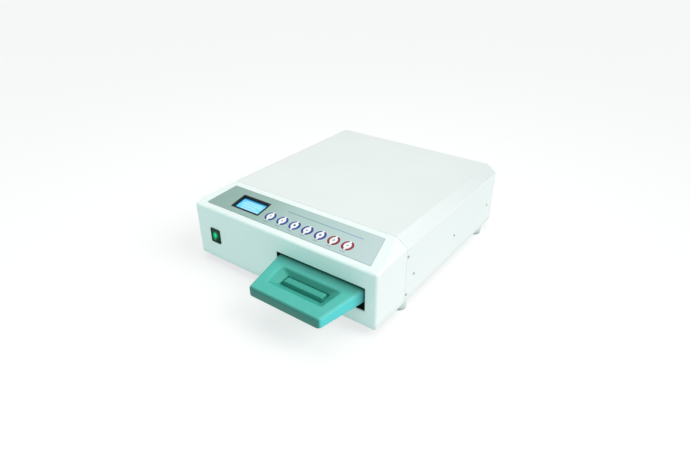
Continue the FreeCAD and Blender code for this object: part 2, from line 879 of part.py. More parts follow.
def cassette_lid():
    """Drawn lid with a flat rim and a raised panel on top."""
    outside = cassette_block(0, lid_rim, lid_top - crown_rise)
    outside = outside.makeFillet(cassette_edge, edges_at(outside, lid_top - crown_rise))
    panel = crown_block(0, lid_top - 2 * crown_rise, lid_top)
    ceiling = lid_top - crown_rise - cassette_wall
    inside = cassette_block(cassette_wall, lid_rim - sheet, ceiling)
    inside = inside.makeFillet(cassette_edge - cassette_wall, edges_at(inside, ceiling))
    pocket = crown_block(cassette_wall, lid_rim, lid_top - cassette_wall)
    rim = cassette_ring(rim_width, cassette_wall, lid_rim, lid_rim + cassette_wall)
    return outside.fuse(panel).cut(inside).cut(pocket).fuse(rim).removeSplitter()


def lid_seal():
    """Flat seal between the two rims."""
    return cassette_ring(rim_width - fit_gap, seal_width - rim_width + cassette_wall, tray_rim, lid_rim)


def port_seals():
    """Grommets in the tray's two ports, which the nozzles enter."""
    neck = port_hole_radius - fit_gap
    edge = cassette_wall / 2
    profile = [(port_bore_radius, -port_flange - edge), (port_flange_radius, -port_flange - edge),
               (port_flange_radius, -edge), (neck, -edge), (neck, edge), (port_flange_radius, edge),
               (port_flange_radius, port_flange + edge), (port_bore_radius, port_flange + edge)]
    seals = [aimed(turned(profile), place - BACK * edge, BACK) for place in port_places()]
    return Part.makeCompound(seals)


def handle_half(depth):
    """Half the handle's width at a depth in front of the case, given as a positive reach."""
    return handle_mouth_half - (handle_mouth_half - handle_front_half) * depth / handle_reach


def handle_top_at(y):
    """Height of the handle's top, which rises from the front edge towards the case."""
    return handle_top + handle_rise * (y + handle_reach) / handle_reach


def on_handle_top(edge):
    """True for an edge that lies in the handle's sloping top."""
    points = [edge.valueAt(edge.FirstParameter + part * (edge.LastParameter - edge.FirstParameter))
              for part in (0.0, 0.5, 1.0)]
    return all(abs(point.z - handle_top_at(point.y)) < sheet / 100 for point in points)


def handle_plan(back, front, back_half, front_half, height):
    """A four-cornered outline about the handle's middle line."""
    return [Vec(slot_x - back_half, back, height), Vec(slot_x + back_half, back, height),
            Vec(slot_x + front_half, front, height), Vec(slot_x - front_half, front, height)]


def handle_funnel():
    """The sloping recess in the handle's top and the opening at the bottom of it."""
    mouth = handle_plan(-recess_back, -recess_front, recess_back_half, recess_front_half, 0)
    throat = handle_plan(-opening_back, -opening_front, opening_half, opening_half, -recess_depth)
    mouth, throat = [[point + UP * handle_top_at(point.y) for point in plan] for plan in (mouth, throat)]
    above = [top + (top - low) * recess_overrun for top, low in zip(mouth, throat)]
    outlines = [Part.makePolygon(points + points[:1]) for points in (above, throat)]
    funnel = Part.makeLoft(outlines, True, True)
    opening = block((slot_x - opening_half, slot_x + opening_half), (-opening_front, -opening_back),
                    (handle_bottom - sheet, handle_top_at(-opening_back) - recess_depth))
    return funnel.fuse(opening).removeSplitter()


def softened_recess(loop):
    """The handle with the corners and the mouth of its recess rounded."""
    def in_recess(edge):
        box = edge.BoundBox
        return box.YMax < -recess_back + sheet / 100 and box.YMin > -recess_front - sheet / 100

    slants = [edge for edge in loop.Edges
              if in_recess(edge) and not is_upright(edge) and edge.BoundBox.ZLength > recess_depth / 2]
    loop = loop.makeFillet(recess_corner, slants)
    mouth = [edge for edge in loop.Edges if on_handle_top(edge) and in_recess(edge)]
    return loop.makeFillet(recess_edge, mouth)


def tray_handle():
    """Moulded loop on the tray's front wall, with a channel below for the latch."""
    plan = handle_plan(handle_back, -handle_reach, handle_half(-handle_back), handle_front_half, handle_bottom)
    loop = prism(plan, UP * (handle_thickness + 2 * handle_rise))
    front_corners = [edge for edge in loop.Edges
                     if is_upright(edge) and edge.BoundBox.YMax < -handle_reach / 2]
    loop = loop.makeFillet(handle_corner, front_corners)
    ends = (-handle_reach - sheet, handle_back + sheet)
    over = [Vec(slot_x - 2 * handle_mouth_half, y, handle_top_at(y)) for y in ends]
    over += [point + UP * 3 * handle_rise for point in reversed(over)]
    loop = loop.cut(prism(over, ACROSS * 4 * handle_mouth_half))
    top = [edge for edge in loop.Edges
           if on_handle_top(edge) and edge.BoundBox.YMin < handle_back - sheet]
    loop = loop.makeFillet(handle_top_edge, top)
    low = [edge for edge in edges_at(loop, handle_bottom) if edge.BoundBox.YMin < handle_back - sheet]
    loop = loop.makeFillet(handle_low_edge, low)
    plate = block((slot_x - foot_plate_half, slot_x + foot_plate_half),
                  (handle_back - rim_width, cassette_front),
                  (handle_bottom - foot_plate_drop, tray_rim - cassette_wall - handle_standoff))
    loop = softened_recess(loop.fuse(plate).cut(handle_funnel()))
    across = (slot_x - channel_half, slot_x + channel_half)
    below = handle_bottom - foot_plate_drop - sheet
    loop = loop.cut(block(across, (-opening_back - sheet, -channel_step), (below, channel_low)))
    loop = loop.cut(block(across, (-channel_step, cassette_front), (below, handle_top - channel_skin)))
    pin_hole = Part.makeCylinder(pin_radius, pin_length, latch_axis() - ACROSS * pin_length / 2, ACROSS)
    loop = loop.cut(pin_hole)
    for place in handle_screw_places():
        start = place - BACK * handle_screw_grip
        loop = loop.cut(Part.makeCylinder(handle_screw_radius + screw_play, 2 * handle_screw_grip, start, BACK))
    return loop.removeSplitter()


def latch_axis():
    """The middle of the pin that the latch turns on."""
    return Vec(slot_x, -pin_setback, pin_height)


def lid_latch():
    """Thumb bar, an arm back under the handle's rear beam, and a hook over the lid's rim."""
    top = handle_top - latch_drop
    bottom = top - latch_height
    upper = handle_plan(-latch_back, -latch_front, latch_half, latch_half, top)
    lower_half = latch_half + latch_spread
    lower = handle_plan(-latch_back + latch_spread / 2, -latch_front - latch_spread, lower_half, lower_half,
                        bottom)
    bar = Part.makeLoft([Part.makePolygon(points + points[:1]) for points in (lower, upper)], True, True)
    bar = bar.makeFillet(latch_edge, edges_at(bar, top))
    axis = latch_axis()
    arm = block((slot_x - arm_half, slot_x + arm_half), (-latch_front, axis.y),
                (arm_low, arm_low + arm_thickness))
    boss = Part.makeCylinder(boss_radius, 2 * arm_half, axis - ACROSS * arm_half, ACROSS)
    hook_low = lid_rim + cassette_wall + hook_rise_gap
    rim_front = cassette_front - rim_width
    riser = block((slot_x - arm_half, slot_x + arm_half), (axis.y - hook_root, axis.y + hook_root),
                  (axis.z, hook_low + hook_thickness))
    tip = block((slot_x - arm_half, slot_x + arm_half), (axis.y, rim_front + hook_bite),
                (hook_low, hook_low + hook_thickness))
    latch = bar.fuse([arm, boss, riser, tip])
    bore = Part.makeCylinder(pin_radius + pin_play, pin_length, axis - ACROSS * pin_length / 2, ACROSS)
    return latch.cut(bore).removeSplitter()


def latch_pin():
    """Steel pin of the latch, across the channel in the handle."""
    return Part.makeCylinder(pin_radius, pin_length, latch_axis() - ACROSS * pin_length / 2, ACROSS)


def handle_screws():
    """Screws from inside the tray into the handle."""
    screws = []
    for place in handle_screw_places():
        profile = [(0, -handle_screw_head_height), (handle_screw_head, -handle_screw_head_height),
                   (handle_screw_head, 0), (handle_screw_radius, 0), (handle_screw_radius, handle_screw_grip),
                   (0, handle_screw_grip)]
        screws.append(aimed(turned(profile), place + BACK * cassette_wall, -BACK))
    return Part.makeCompound(screws)


def probe_block():
    """Moulded block behind the chamber that joins the nozzles to their hoses."""
    body = rounded_plate(probe_width, probe_height, edge_radius, 0, probe_depth)
    body = aimed(body, Vec(slot_x, chamber_rear_face, port_level), Vec(0, 1, 0))
    for place in port_places():
        start = Vec(place.x, chamber_rear_face - sheet, place.z)
        body = body.cut(Part.makeCylinder(nozzle_bore, 2 * probe_depth, start, BACK))
        body = body.cut(Part.makeCylinder(nozzle_radius + screw_play, nozzle_root + sheet, start, BACK))
    return body


def probe_nozzles():
    """Two tubes that enter the tray's ports when the cassette is home."""
    nozzles = []
    for place in port_places():
        start = place - BACK * nozzle_reach
        length = chamber_rear_face + nozzle_root - start.y
        tube = Part.makeCylinder(nozzle_radius, length, start, BACK)
        nozzles.append(tube.cut(Part.makeCylinder(nozzle_bore, length, start, BACK)))
    return Part.makeCompound(nozzles)


def cassette_switch():
    """Small switch on the chamber's end wall whose button meets the cassette."""
    x = slot_x - micro_offset
    body = block((x - micro_width / 2, x + micro_width / 2), (chamber_back - micro_depth, chamber_back),
                 (port_level - micro_height / 2, port_level + micro_height / 2))
    start = Vec(x, cassette_back + micro_gap, port_level)
    button = Part.makeCylinder(micro_button, chamber_back - micro_depth - start.y, start, BACK)
    return body.fuse(button)


def steam_generator():
    """Ribbed cast body of the steam generator with a narrower foot."""
    profile = [(0, generator_bottom), (generator_radius - generator_foot, generator_bottom),
               (generator_radius - generator_foot, generator_bottom + generator_foot)]
    pitch = (generator_height - generator_foot) / generator_rib_count
    for index in range(generator_rib_count):
        height = generator_bottom + generator_foot + index * pitch
        profile += [(generator_radius - generator_rib, height),
                    (generator_radius - generator_rib, height + pitch / 2),
                    (generator_radius, height + pitch / 2), (generator_radius, height + pitch)]
    profile += [(0, generator_top)]
    return aimed(turned(profile), Vec(generator_x, generator_y, 0), UP)


def generator_cover():
    """Flanged cover with two hose bosses."""
    profile = [(0, 0), (generator_flange_radius, 0), (generator_flange_radius, generator_flange),
               (0, generator_flange)]
    cover = aimed(turned(profile), Vec(generator_x, generator_y, generator_top), UP)
    for side in (-1, 1):
        start = Vec(generator_x, generator_y + side * boss_offset, cover_top)
        cover = cover.fuse(Part.makeCylinder(hose_boss_radius, hose_boss_height, start))
        cover = cover.cut(Part.makeCylinder(hose_bore, boss_top, start - UP * generator_flange))
    return cover.removeSplitter()


def generator_legs():
    """Spacers that hold the hot body clear of the pan."""
    legs = []
    for index in range(generator_leg_count):
        angle = 2 * math.pi * index / generator_leg_count
        place = Vec(generator_x + (generator_leg_circle - generator_leg_radius) * math.cos(angle),
                    generator_y + (generator_leg_circle - generator_leg_radius) * math.sin(angle), sheet)
        legs.append(Part.makeCylinder(generator_leg_radius, generator_bottom - sheet, place))
    return Part.makeCompound(legs)


def water_pump():
    """Vibrating pump: a square coil on a round body with a hose end at each end."""
    neck_length = pump_length - 2 * pump_end_length
    half = neck_length / 2
    profile = [(0, -pump_length / 2), (pump_end_radius, -pump_length / 2), (pump_end_radius, -half),
               (pump_neck_radius, -half), (pump_neck_radius, half), (pump_end_radius, half),
               (pump_end_radius, pump_length / 2), (0, pump_length / 2)]
    body = turned(profile).fuse(rounded_plate(pump_coil, pump_coil, edge_radius, -pump_coil_length / 2,
                                              pump_coil_length / 2))
    body = body.cut(Part.makeCylinder(hose_bore, 2 * pump_length, Vec(0, 0, -pump_length)))
    return aimed(body, Vec(pump_x, pump_y, pump_height), BACK)


def pump_bracket():
    """Folded saddle that carries the pump by its coil."""
    low = sheet
    high = pump_height - pump_coil / 2
    half = bracket_width / 2
    profile = [(-half, low), (-half, low + sheet), (-pump_coil / 2, low + sheet), (-pump_coil / 2, high),
               (pump_coil / 2, high), (pump_coil / 2, low + sheet), (half, low + sheet), (half, low),
               (pump_coil / 2 - sheet, low), (pump_coil / 2 - sheet, high - sheet),
               (-pump_coil / 2 + sheet, high - sheet), (-pump_coil / 2 + sheet, low)]
    points = [Vec(pump_x + x, pump_y - pump_coil_length / 2, z) for x, z in profile]
    return prism(points, BACK * pump_coil_length)


def exhaust_valve():
    """Valve body screwed to the inner end of the exhaust fitting."""
    half = valve_size / 2
    body = rounded_plate(valve_size, valve_size, edge_radius / 2, 0, valve_length)
    body = body.cut(Part.makeCylinder(hose_bore, valve_length, Vec(0, 0, 0)))
    body = aimed(body, Vec(valve_x, valve_front, port_centre_height), BACK)
    seat = Part.makeCylinder(half - sheet, sheet, Vec(valve_x, fitting_front - valve_length / 2,
                                                      port_centre_height + half - sheet))
    return body.fuse(seat).removeSplitter()


def valve_coil():
    """Solenoid on the valve body."""
    low = port_centre_height + valve_size / 2
    coil = rounded_plate(valve_coil_size, valve_coil_size, edge_radius, low, low + valve_coil_height)
    return moved(coil, valve_x, fitting_front - valve_length / 2, 0)


def rear_fittings():
    """Push-in fittings for the water and the exhaust hoses."""
    length = fitting_inside + sheet + fitting_reach
    fittings = []
    for x in port_x:
        profile = [(0, 0), (fitting_radius, 0), (fitting_radius, fitting_inside + sheet),
                   (fitting_collar_radius, fitting_inside + sheet),
                   (fitting_collar_radius, fitting_inside + sheet + fitting_collar),
                   (fitting_radius, fitting_inside + sheet + fitting_collar), (fitting_radius, length),
                   (0, length)]
        fitting = turned(profile)
        mouth = Vec(0, 0, length - fitting_bore_depth)
        fitting = fitting.cut(Part.makeCylinder(fitting_bore, fitting_bore_depth, mouth))
        fitting = fitting.cut(Part.makeCylinder(hose_bore, length, Vec(0, 0, 0)))
        fittings.append(aimed(fitting, Vec(x, fitting_front, port_centre_height), BACK))
    return Part.makeCompound(fittings)


def air_pump():
    """Drying air pump: a square head with a motor on top."""
    head = rounded_plate(air_pump_width, air_pump_length, edge_radius, sheet, sheet + air_pump_height)
    motor = Part.makeCylinder(air_motor_radius, air_motor_length, Vec(0, 0, sheet + air_pump_height))
    return moved(head.fuse(motor).removeSplitter(), air_pump_x, air_pump_y, 0)


def water_hose():
    """From the water fitting to the pump."""
    x = port_x[1]
    middle = (pump_back + fitting_front) / 2
    return hose([Vec(x, fitting_front, port_centre_height), Vec(x, middle, port_centre_height),
                 Vec(x, middle, hose_low), Vec(pump_x, middle, hose_low), Vec(pump_x, middle, pump_height),
                 Vec(pump_x, pump_back, pump_height)])


def feed_hose():
    """From the pump to the steam generator."""
    y = generator_y - boss_offset
    return hose([Vec(pump_x, pump_front, pump_height), Vec(pump_x, y, pump_height), Vec(pump_x, y, hose_top),
                 Vec(generator_x, y, hose_top), Vec(generator_x, y, boss_top)])


def steam_hose():
    """From the steam generator to the first nozzle."""
    y = generator_y + boss_offset
    end = port_places()[0]
    back = probe_back + hose_lane
    return hose([Vec(generator_x, y, boss_top), Vec(generator_x, y, hose_top), Vec(generator_x, back, hose_top),
                 Vec(end.x, back, hose_top), Vec(end.x, back, end.z),
                 Vec(end.x, probe_back, end.z)])


def exhaust_hose():
    """From the second nozzle to the exhaust valve."""
    start = port_places()[1]
    back = valve_front - hose_lane
    return hose([Vec(start.x, probe_back, start.z), Vec(start.x, back, start.z),
                 Vec(valve_x, back, port_centre_height), Vec(valve_x, valve_front, port_centre_height)])


def main_board():
    """Power and control circuit board."""
    low = sheet + standoff_height
    return block(main_board_x, main_board_y, (low, low + board_thickness))


def board_standoffs():
    """Spacers under the corners of the main board."""
    spacers = []
    for x in (main_board_x[0] + standoff_setback, main_board_x[1] - standoff_setback):
        for y in (main_board_y[0] + standoff_setback, main_board_y[1] - standoff_setback):
            spacers.append(Part.makeCylinder(standoff_radius, standoff_height, Vec(x, y, sheet)))
    return Part.makeCompound(spacers)


def board_components():
    """Transformer, heat sink and relays on the main board."""
    low = sheet + standoff_height + board_thickness
    left = main_board_x[0] + 2 * standoff_setback
    front = main_board_y[0] + 2 * standoff_setback
    width, length, height = transformer_size
    pieces = [block((left, left + width), (front, front + length), (low, low + height))]
    width, length, height = heat_sink_size
    sink_x = main_board_x[1] - 2 * standoff_setback - width
    sink = block((sink_x, sink_x + width), (front, front + length), (low, low + height))
    fin = length / (2 * heat_sink_fins)
    for index in range(heat_sink_fins):
        start = front + fin / 2 + 2 * index * fin
        between = block((sink_x + width / 3, sink_x + width), (start, start + fin),
                        (low + fin, low + 2 * height))
        sink = sink.cut(between)
    pieces.append(sink)
    width, length, height = relay_size
    back = main_board_y[1] - 2 * standoff_setback - length
    pitch = (main_board_x[1] - left) / relay_count
    for index in range(relay_count):
        start = left + index * pitch
        pieces.append(block((start, start + width), (back, back + length), (low, low + height)))
    return Part.makeCompound(pieces)


def fan_frame():
    """Square fan frame with its struts, motor base and shaft."""
    frame = rounded_plate(fan_size, fan_size, fan_corner, 0, fan_depth)
    frame = frame.cut(Part.makeCylinder(fan_hole_radius, 2 * fan_depth, Vec(0, 0, -fan_depth / 2)))
    step = fan_screw_spacing / 2
    for x in (-step, step):
        for y in (-step, step):
            start = Vec(x, y, -fan_depth / 2)
            frame = frame.cut(Part.makeCylinder(screw_radius + screw_play, 2 * fan_depth, start))
    reach = fan_hole_radius + fan_strut / 2
    struts = block((-reach, reach), (-fan_strut / 2, fan_strut / 2), (0, fan_base))
    struts = struts.fuse(block((-fan_strut / 2, fan_strut / 2), (-reach, reach), (0, fan_base)))
    base = Part.makeCylinder(fan_hub_radius, fan_base)
    shaft = Part.makeCylinder(fan_shaft_radius, fan_depth - 2 * fan_base)
    frame = frame.fuse([struts, base, shaft]).removeSplitter()
    return aimed(frame, Vec(fan_x, fan_front, fan_height), BACK)


def fan_rotor():
    """Hub with a ring of pitched blades, free to turn on the shaft."""
    low = fan_base + fan_hub_gap
    high = fan_depth - 2 * fan_hub_gap
    hub = Part.makeCylinder(fan_hub_radius, high - low, Vec(0, 0, low))
    swept = Part.makeCylinder(fan_blade_radius, high - low, Vec(0, 0, low))
    blades = []
    for index in range(fan_blade_count):
        blade = block((fan_hub_radius / 2, fan_hole_radius), (-fan_blade_width, fan_blade_width),
                      (-fan_blade_thickness / 2, fan_blade_thickness / 2))
        blade.rotate(Vec(0, 0, 0), ACROSS, fan_blade_pitch)
        blade.translate(UP * (low + high) / 2)
        blade.rotate(Vec(0, 0, 0), UP, 360 * index / fan_blade_count)
        blades.append(blade.common(swept))
    bore = Part.makeCylinder(fan_shaft_radius + fan_shaft_play, fan_depth)
    rotor = hub.fuse(blades).cut(bore).removeSplitter()
    return aimed(rotor, Vec(fan_x, fan_front, fan_height), BACK)


def fan_guard():
    """Finger guard of rings on four arms, screwed over the fan's opening."""
    step = fan_screw_spacing / 2
    arm_reach = step * math.sqrt(2)
    pitch = fan_hole_radius / guard_ring_count
    guard = Part.makeCylinder(pitch / 2, guard_wire)
    for index in range(1, guard_ring_count + 1):
        ring = Part.makeCylinder(index * pitch + guard_wire, guard_wire)
        guard = guard.fuse(ring.cut(Part.makeCylinder(index * pitch - guard_wire / 2, guard_wire)))
    for turn in guard_turns:
        arm = block((-arm_reach, arm_reach), (-guard_wire, guard_wire), (0, guard_wire))
        arm.rotate(Vec(0, 0, 0), UP, turn)
        guard = guard.fuse(arm)
    for x in (-step, step):
        for y in (-step, step):
            guard = guard.fuse(Part.makeCylinder(guard_lug_radius, guard_wire, Vec(x, y, 0)))
            start = Vec(x, y, -guard_wire / 2)
            guard = guard.cut(Part.makeCylinder(screw_radius + screw_play, 2 * guard_wire, start))
    return facing_rear(guard.removeSplitter(), fan_x, fan_height)


def mains_inlet():
    """Moulded mains inlet with its flange outside and its six-sided mouth."""
    flange = rounded_plate(inlet_width, inlet_rise, inlet_corner, 0, inlet_flange)
    body = rounded_plate(inlet_body_width, inlet_body_height, switch_corner, -inlet_body_depth, 0)
    half = inlet_mouth_width / 2
    rise = inlet_mouth_height / 2
    cut = inlet_mouth_cut
    outline = [(-half, -rise), (half, -rise), (half, rise - cut), (half - cut, rise), (cut - half, rise),
               (-half, rise - cut)]
    mouth = prism([Vec(x, y, inlet_flange - inlet_mouth_depth) for x, y in outline], UP * 2 * inlet_mouth_depth)
    inlet = flange.fuse(body).removeSplitter().cut(mouth)
    for x in (-inlet_screw_spacing / 2, inlet_screw_spacing / 2):
        start = Vec(x, 0, -inlet_flange / 2)
        inlet = inlet.cut(Part.makeCylinder(screw_radius + screw_play, 2 * inlet_flange, start))
    return facing_rear(inlet, inlet_x, inlet_height)


def mains_pins():
    """The inlet's three flat pins."""
    floor = inlet_flange - inlet_mouth_depth
    width, height = pin_blade
    pins = []
    for x, y in ((-pin_pitch, -pin_raise), (0, pin_raise), (pin_pitch, -pin_raise)):
        pins.append(block((x - width / 2, x + width / 2), (y - height / 2, y + height / 2),
                          (floor, floor + pin_reach)))
    return facing_rear(Part.makeCompound(pins), inlet_x, inlet_height)


pieces = {
    "base_pan": base_pan(),
    "front_fascia": front_fascia(),
    "top_cover": top_cover(),
    "rear_panel": rear_panel(),
    "cover_screws": cover_screws(),
    "rear_screws": rear_screws(),
    "rubber_feet": rubber_feet(),
    "foot_studs": foot_studs(),
    "control_overlay": control_overlay(),
    "keypad_board": keypad_board(),
    "key_switches": key_switches(),
    "panel_posts": panel_posts(),
    "display_bezel": display_bezel(),
    "display_glass": display_glass(),
    "display_module": display_module(),
    "switch_housing": switch_housing(),
    "switch_rocker": switch_rocker(),
    "chamber_sleeve": chamber_sleeve(),
    "guide_rails": guide_rails(),
    "sleeve_supports": sleeve_supports(),
    "cassette_tray": cassette_tray(),
    "cassette_lid": cassette_lid(),
    "lid_seal": lid_seal(),
    "port_seals": port_seals(),
    "tray_handle": tray_handle(),
    "lid_latch": lid_latch(),
    "latch_pin": latch_pin(),
    "handle_screws": handle_screws(),
    "probe_block": probe_block(),
    "probe_nozzles": probe_nozzles(),
    "cassette_switch": cassette_switch(),
    "steam_generator": steam_generator(),
    "generator_cover": generator_cover(),
    "generator_legs": generator_legs(),
    "water_pump": water_pump(),
    "pump_bracket": pump_bracket(),
    "exhaust_valve": exhaust_valve(),
    "valve_coil": valve_coil(),
    "rear_fittings": rear_fittings(),
    "air_pump": air_pump(),
    "water_hose": water_hose(),
    "feed_hose": feed_hose(),
    "steam_hose": steam_hose(),
    "exhaust_hose": exhaust_hose(),
    "main_board": main_board(),
    "board_standoffs": board_standoffs(),
    "board_components": board_components(),
    "fan_frame": fan_frame(),
    "fan_rotor": fan_rotor(),
    "fan_guard": fan_guard(),
    "mains_inlet": mains_inlet(),
    "mains_pins": mains_pins(),
}
for number in range(key_count):
    pieces["key_" + str(number + 1)] = key(number)

os.makedirs("parts", exist_ok=True)
for name, shape in pieces.items():
    shape.translate(frame_shift)
    shape.exportStep("parts/" + name + ".step")
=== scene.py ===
import bpy
import math
from mathutils import Matrix, Vector


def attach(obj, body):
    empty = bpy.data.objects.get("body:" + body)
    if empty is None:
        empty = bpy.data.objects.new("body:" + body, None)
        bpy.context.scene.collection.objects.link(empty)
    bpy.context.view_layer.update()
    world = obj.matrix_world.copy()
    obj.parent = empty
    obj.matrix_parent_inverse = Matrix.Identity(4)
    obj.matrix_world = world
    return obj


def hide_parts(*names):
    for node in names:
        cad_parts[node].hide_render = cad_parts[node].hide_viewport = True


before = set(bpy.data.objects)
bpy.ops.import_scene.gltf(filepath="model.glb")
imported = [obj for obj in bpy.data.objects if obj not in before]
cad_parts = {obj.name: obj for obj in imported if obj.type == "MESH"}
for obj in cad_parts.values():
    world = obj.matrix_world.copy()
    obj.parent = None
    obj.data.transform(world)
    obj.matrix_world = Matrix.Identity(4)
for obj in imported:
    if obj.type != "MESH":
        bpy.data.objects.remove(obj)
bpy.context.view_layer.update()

# Camera: it stands to the right of the front and looks down at the slope, as a shop's
# picture of such a machine does.
camera_place = (0.57791, -0.78092, 0.61104)
camera_turn = (59.8036, 0.1403, 36.0223)
camera_lens = 27.0813
camera_sensor = 36
bpy.ops.object.select_all(action="DESELECT")
bpy.ops.object.camera_add(location=camera_place,
                          rotation=[math.radians(turn) for turn in camera_turn])
camera = bpy.context.object
camera.data.lens = camera_lens
camera.data.sensor_width = camera_sensor
bpy.context.scene.camera = camera
bpy.context.scene.view_settings.view_transform = "Standard"

# Studio lamps: a broad soft sun from the right and above, a panel overhead, and a cool
# panel in front whose light falls on the folded front alone.
warm_white = (1.0, 0.985, 0.98)
panel_white = (1.0, 0.985, 0.975)
cool_green = (0.3, 1.0, 0.9)
panel_size = 1.2


def lamp(name, kind, place, target, power, colour, **settings):
    """A studio light at a place, turned to face the target."""
    aim = (Vector(target) - Vector(place)).to_track_quat("-Z", "Y").to_euler()
    bpy.ops.object.light_add(type=kind, location=place, rotation=aim)
    light = bpy.context.object
    light.name = name
    light.data.energy = power
    light.data.color = colour
    for setting, value in settings.items():
        setattr(light.data, setting, value)
    return light


lamp("right_key", "SUN", (2.4, 0.7, 2.0), (0, 0, 0), 1.92, warm_white, angle=math.radians(40))
lamp("overhead", "AREA", (0.1, -0.12, 1.2), (0.05, -0.1, 0.1), 5.6, panel_white, size=panel_size)
fill = lamp("front_fill", "AREA", (-0.1, -1.9, 0.35), (0.05, -0.2, 0.08), 9.0, cool_green,
            size=panel_size)
front_pieces = bpy.data.collections.new("pieces_in_the_front_fill")
front_pieces.objects.link(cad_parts["front_fascia"])
fill.light_linking.receiver_collection = front_pieces


# Sky of the studio: a weak cool light from all round on the part, and a plain white
# backdrop for the camera and, in part, for what the glossy pieces mirror.
class Wire:
    """One value in a material; sums of wires are written as plain Python sums."""

    def __init__(self, finish, socket):
        self.finish = finish
        self.socket = socket

    def maths(self, operation, *others):
        return self.finish.node("ShaderNodeMath", {"operation": operation},
                                dict(enumerate((self,) + others)))

    def __add__(self, other):
        return self.maths("ADD", other)

    def __radd__(self, other):
        return self.maths("ADD", other)

    def __sub__(self, other):
        return self.maths("SUBTRACT", other)

    def __rsub__(self, other):
        return (self * -1.0) + other

    def __mul__(self, other):
        return self.maths("MULTIPLY", other)

    def __rmul__(self, other):
        return self.maths("MULTIPLY", other)

    def __truediv__(self, other):
        return self.maths("DIVIDE", other)

    def __abs__(self):
        return self.maths("ABSOLUTE")

    def above(self, level, soft):
        """0 below the level and 1 above it, over a soft edge."""
        return self.finish.node(
            "ShaderNodeMapRange", {"interpolation_type": "SMOOTHSTEP"},
            {"Value": self, "From Min": level - soft, "From Max": level + soft})

    def below(self, level, soft):
        """1 below the level and 0 above it, over a soft edge."""
        return 1 - self.above(level, soft)

    def highest(self, other):
        return self.maths("MAXIMUM", other)


class Finish:
    """A material, or the studio's sky, under construction."""

    def __init__(self, name, kept_in=bpy.data.materials):
        self.owner = kept_in.new(name)
        self.owner.use_nodes = True
        self.tree = self.owner.node_tree
        self.tree.nodes.clear()

    def node(self, kind, settings, sockets, output=0):
        """Adds a node: its settings first, then the values or links of its sockets."""
        made = self.tree.nodes.new(kind)
        for setting, value in settings.items():
            if setting == "stops":
                ramp = made.color_ramp
                while len(ramp.elements) < len(value):
                    ramp.elements.new(0.5)
                for element, (place, colour) in zip(ramp.elements, value):
                    element.position = place
                    element.color = colour
            else:
                setattr(made, setting, value)
        for socket, value in sockets.items():
            if isinstance(value, Wire):
                self.tree.links.new(value.socket, made.inputs[socket])
            else:
                made.inputs[socket].default_value = value
        return Wire(self, made.outputs[output]) if made.outputs else None

    def place(self):
        """Object coordinates, the same frame as the solids, in metres."""
        return self.node("ShaderNodeTexCoord", {}, {}, "Object")

    def noise(self, scale, detail=3.0, stretch=(1, 1, 1)):
        """Cloudy values about 0.5, with features of 1/scale metres."""
        spot = self.node("ShaderNodeMapping", {}, {"Vector": self.place(), "Scale": stretch})
        return self.node("ShaderNodeTexNoise", {},
                         {"Vector": spot, "Scale": scale, "Detail": detail})

    def axes(self):
        """The three object coordinates, one wire each."""
        split = self.node("ShaderNodeSeparateXYZ", {}, {"Vector": self.place()})
        outputs = split.socket.node.outputs
        return [Wire(self, outputs[index]) for index in range(3)]

    def mix(self, factor, first, second):
        """A colour between two colours."""
        return self.node("ShaderNodeMix", {"data_type": "RGBA"},
                         {0: factor, 6: first, 7: second}, 2)

    def bump(self, height, strength, distance):
        """A surface normal roughened by a height."""
        return self.node("ShaderNodeBump", {},
                         {"Height": height, "Strength": strength, "Distance": distance})

    def surface(self, **sockets):
        """A surface, from the shader's own sockets."""
        named = {name.replace("_", " ").title().replace("Ior", "IOR"): value
                 for name, value in sockets.items()}
        return self.node("ShaderNodeBsdfPrincipled", {}, named)

    def finished(self, surface, kind="ShaderNodeOutputMaterial"):
        """The material or sky that shows the surface."""
        self.node(kind, {}, {"Surface": surface})
        return self.owner

    def shade(self, **sockets):
        """The material of one surface, from the shader's own sockets."""
        return self.finished(self.surface(**sockets))


sky = Finish("studio_sky", bpy.data.worlds)
soft_light = sky.node("ShaderNodeBackground", {},
                      {"Color": (0.86, 1.0, 0.985, 1), "Strength": 0.33})
backdrop = sky.node("ShaderNodeBackground", {}, {"Color": (1.0, 1.0, 1.0, 1), "Strength": 1.0})
by_camera = sky.node("ShaderNodeLightPath", {}, {}, "Is Camera Ray")
mirrored = sky.node("ShaderNodeLightPath", {}, {}, "Is Glossy Ray")
bpy.context.scene.world = sky.finished(
    sky.node("ShaderNodeMixShader", {},
             {0: by_camera.highest(mirrored * 0.6), 1: soft_light, 2: backdrop}),
    "ShaderNodeOutputWorld")

# Studio floor: a sheet of matt paper that runs out of sight, lit from within so that the
# camera sees it almost white, with a little less light cast back onto the part.
paper_low = (0.36, 0.36, 0.36, 1)
paper_high = (0.37, 0.37, 0.37, 1)
seen_glow = 0.68
cast_glow = 0.52
bpy.ops.object.select_all(action="DESELECT")
bpy.ops.mesh.primitive_plane_add(size=40, location=(0, 8, 0))
floor = bpy.context.object
floor.name = "studio_floor"
sweep = Finish("studio_sweep")
cloud = sweep.noise(0.8)
paper = sweep.mix(cloud, paper_low, paper_high)
seen = sweep.surface(base_color=paper, roughness=0.9, specular_ior_level=0.0,
                     emission_color=(1.0, 1.0, 1.0, 1), emission_strength=seen_glow)
cast = sweep.surface(base_color=paper, roughness=0.9, specular_ior_level=0.0,
                     emission_color=(0.9, 1.0, 0.99, 1), emission_strength=cast_glow)
by_camera = sweep.node("ShaderNodeLightPath", {}, {}, "Is Camera Ray")
floor.data.materials.append(sweep.finished(
    sweep.node("ShaderNodeMixShader", {}, {0: by_camera, 1: cast, 2: seen})))


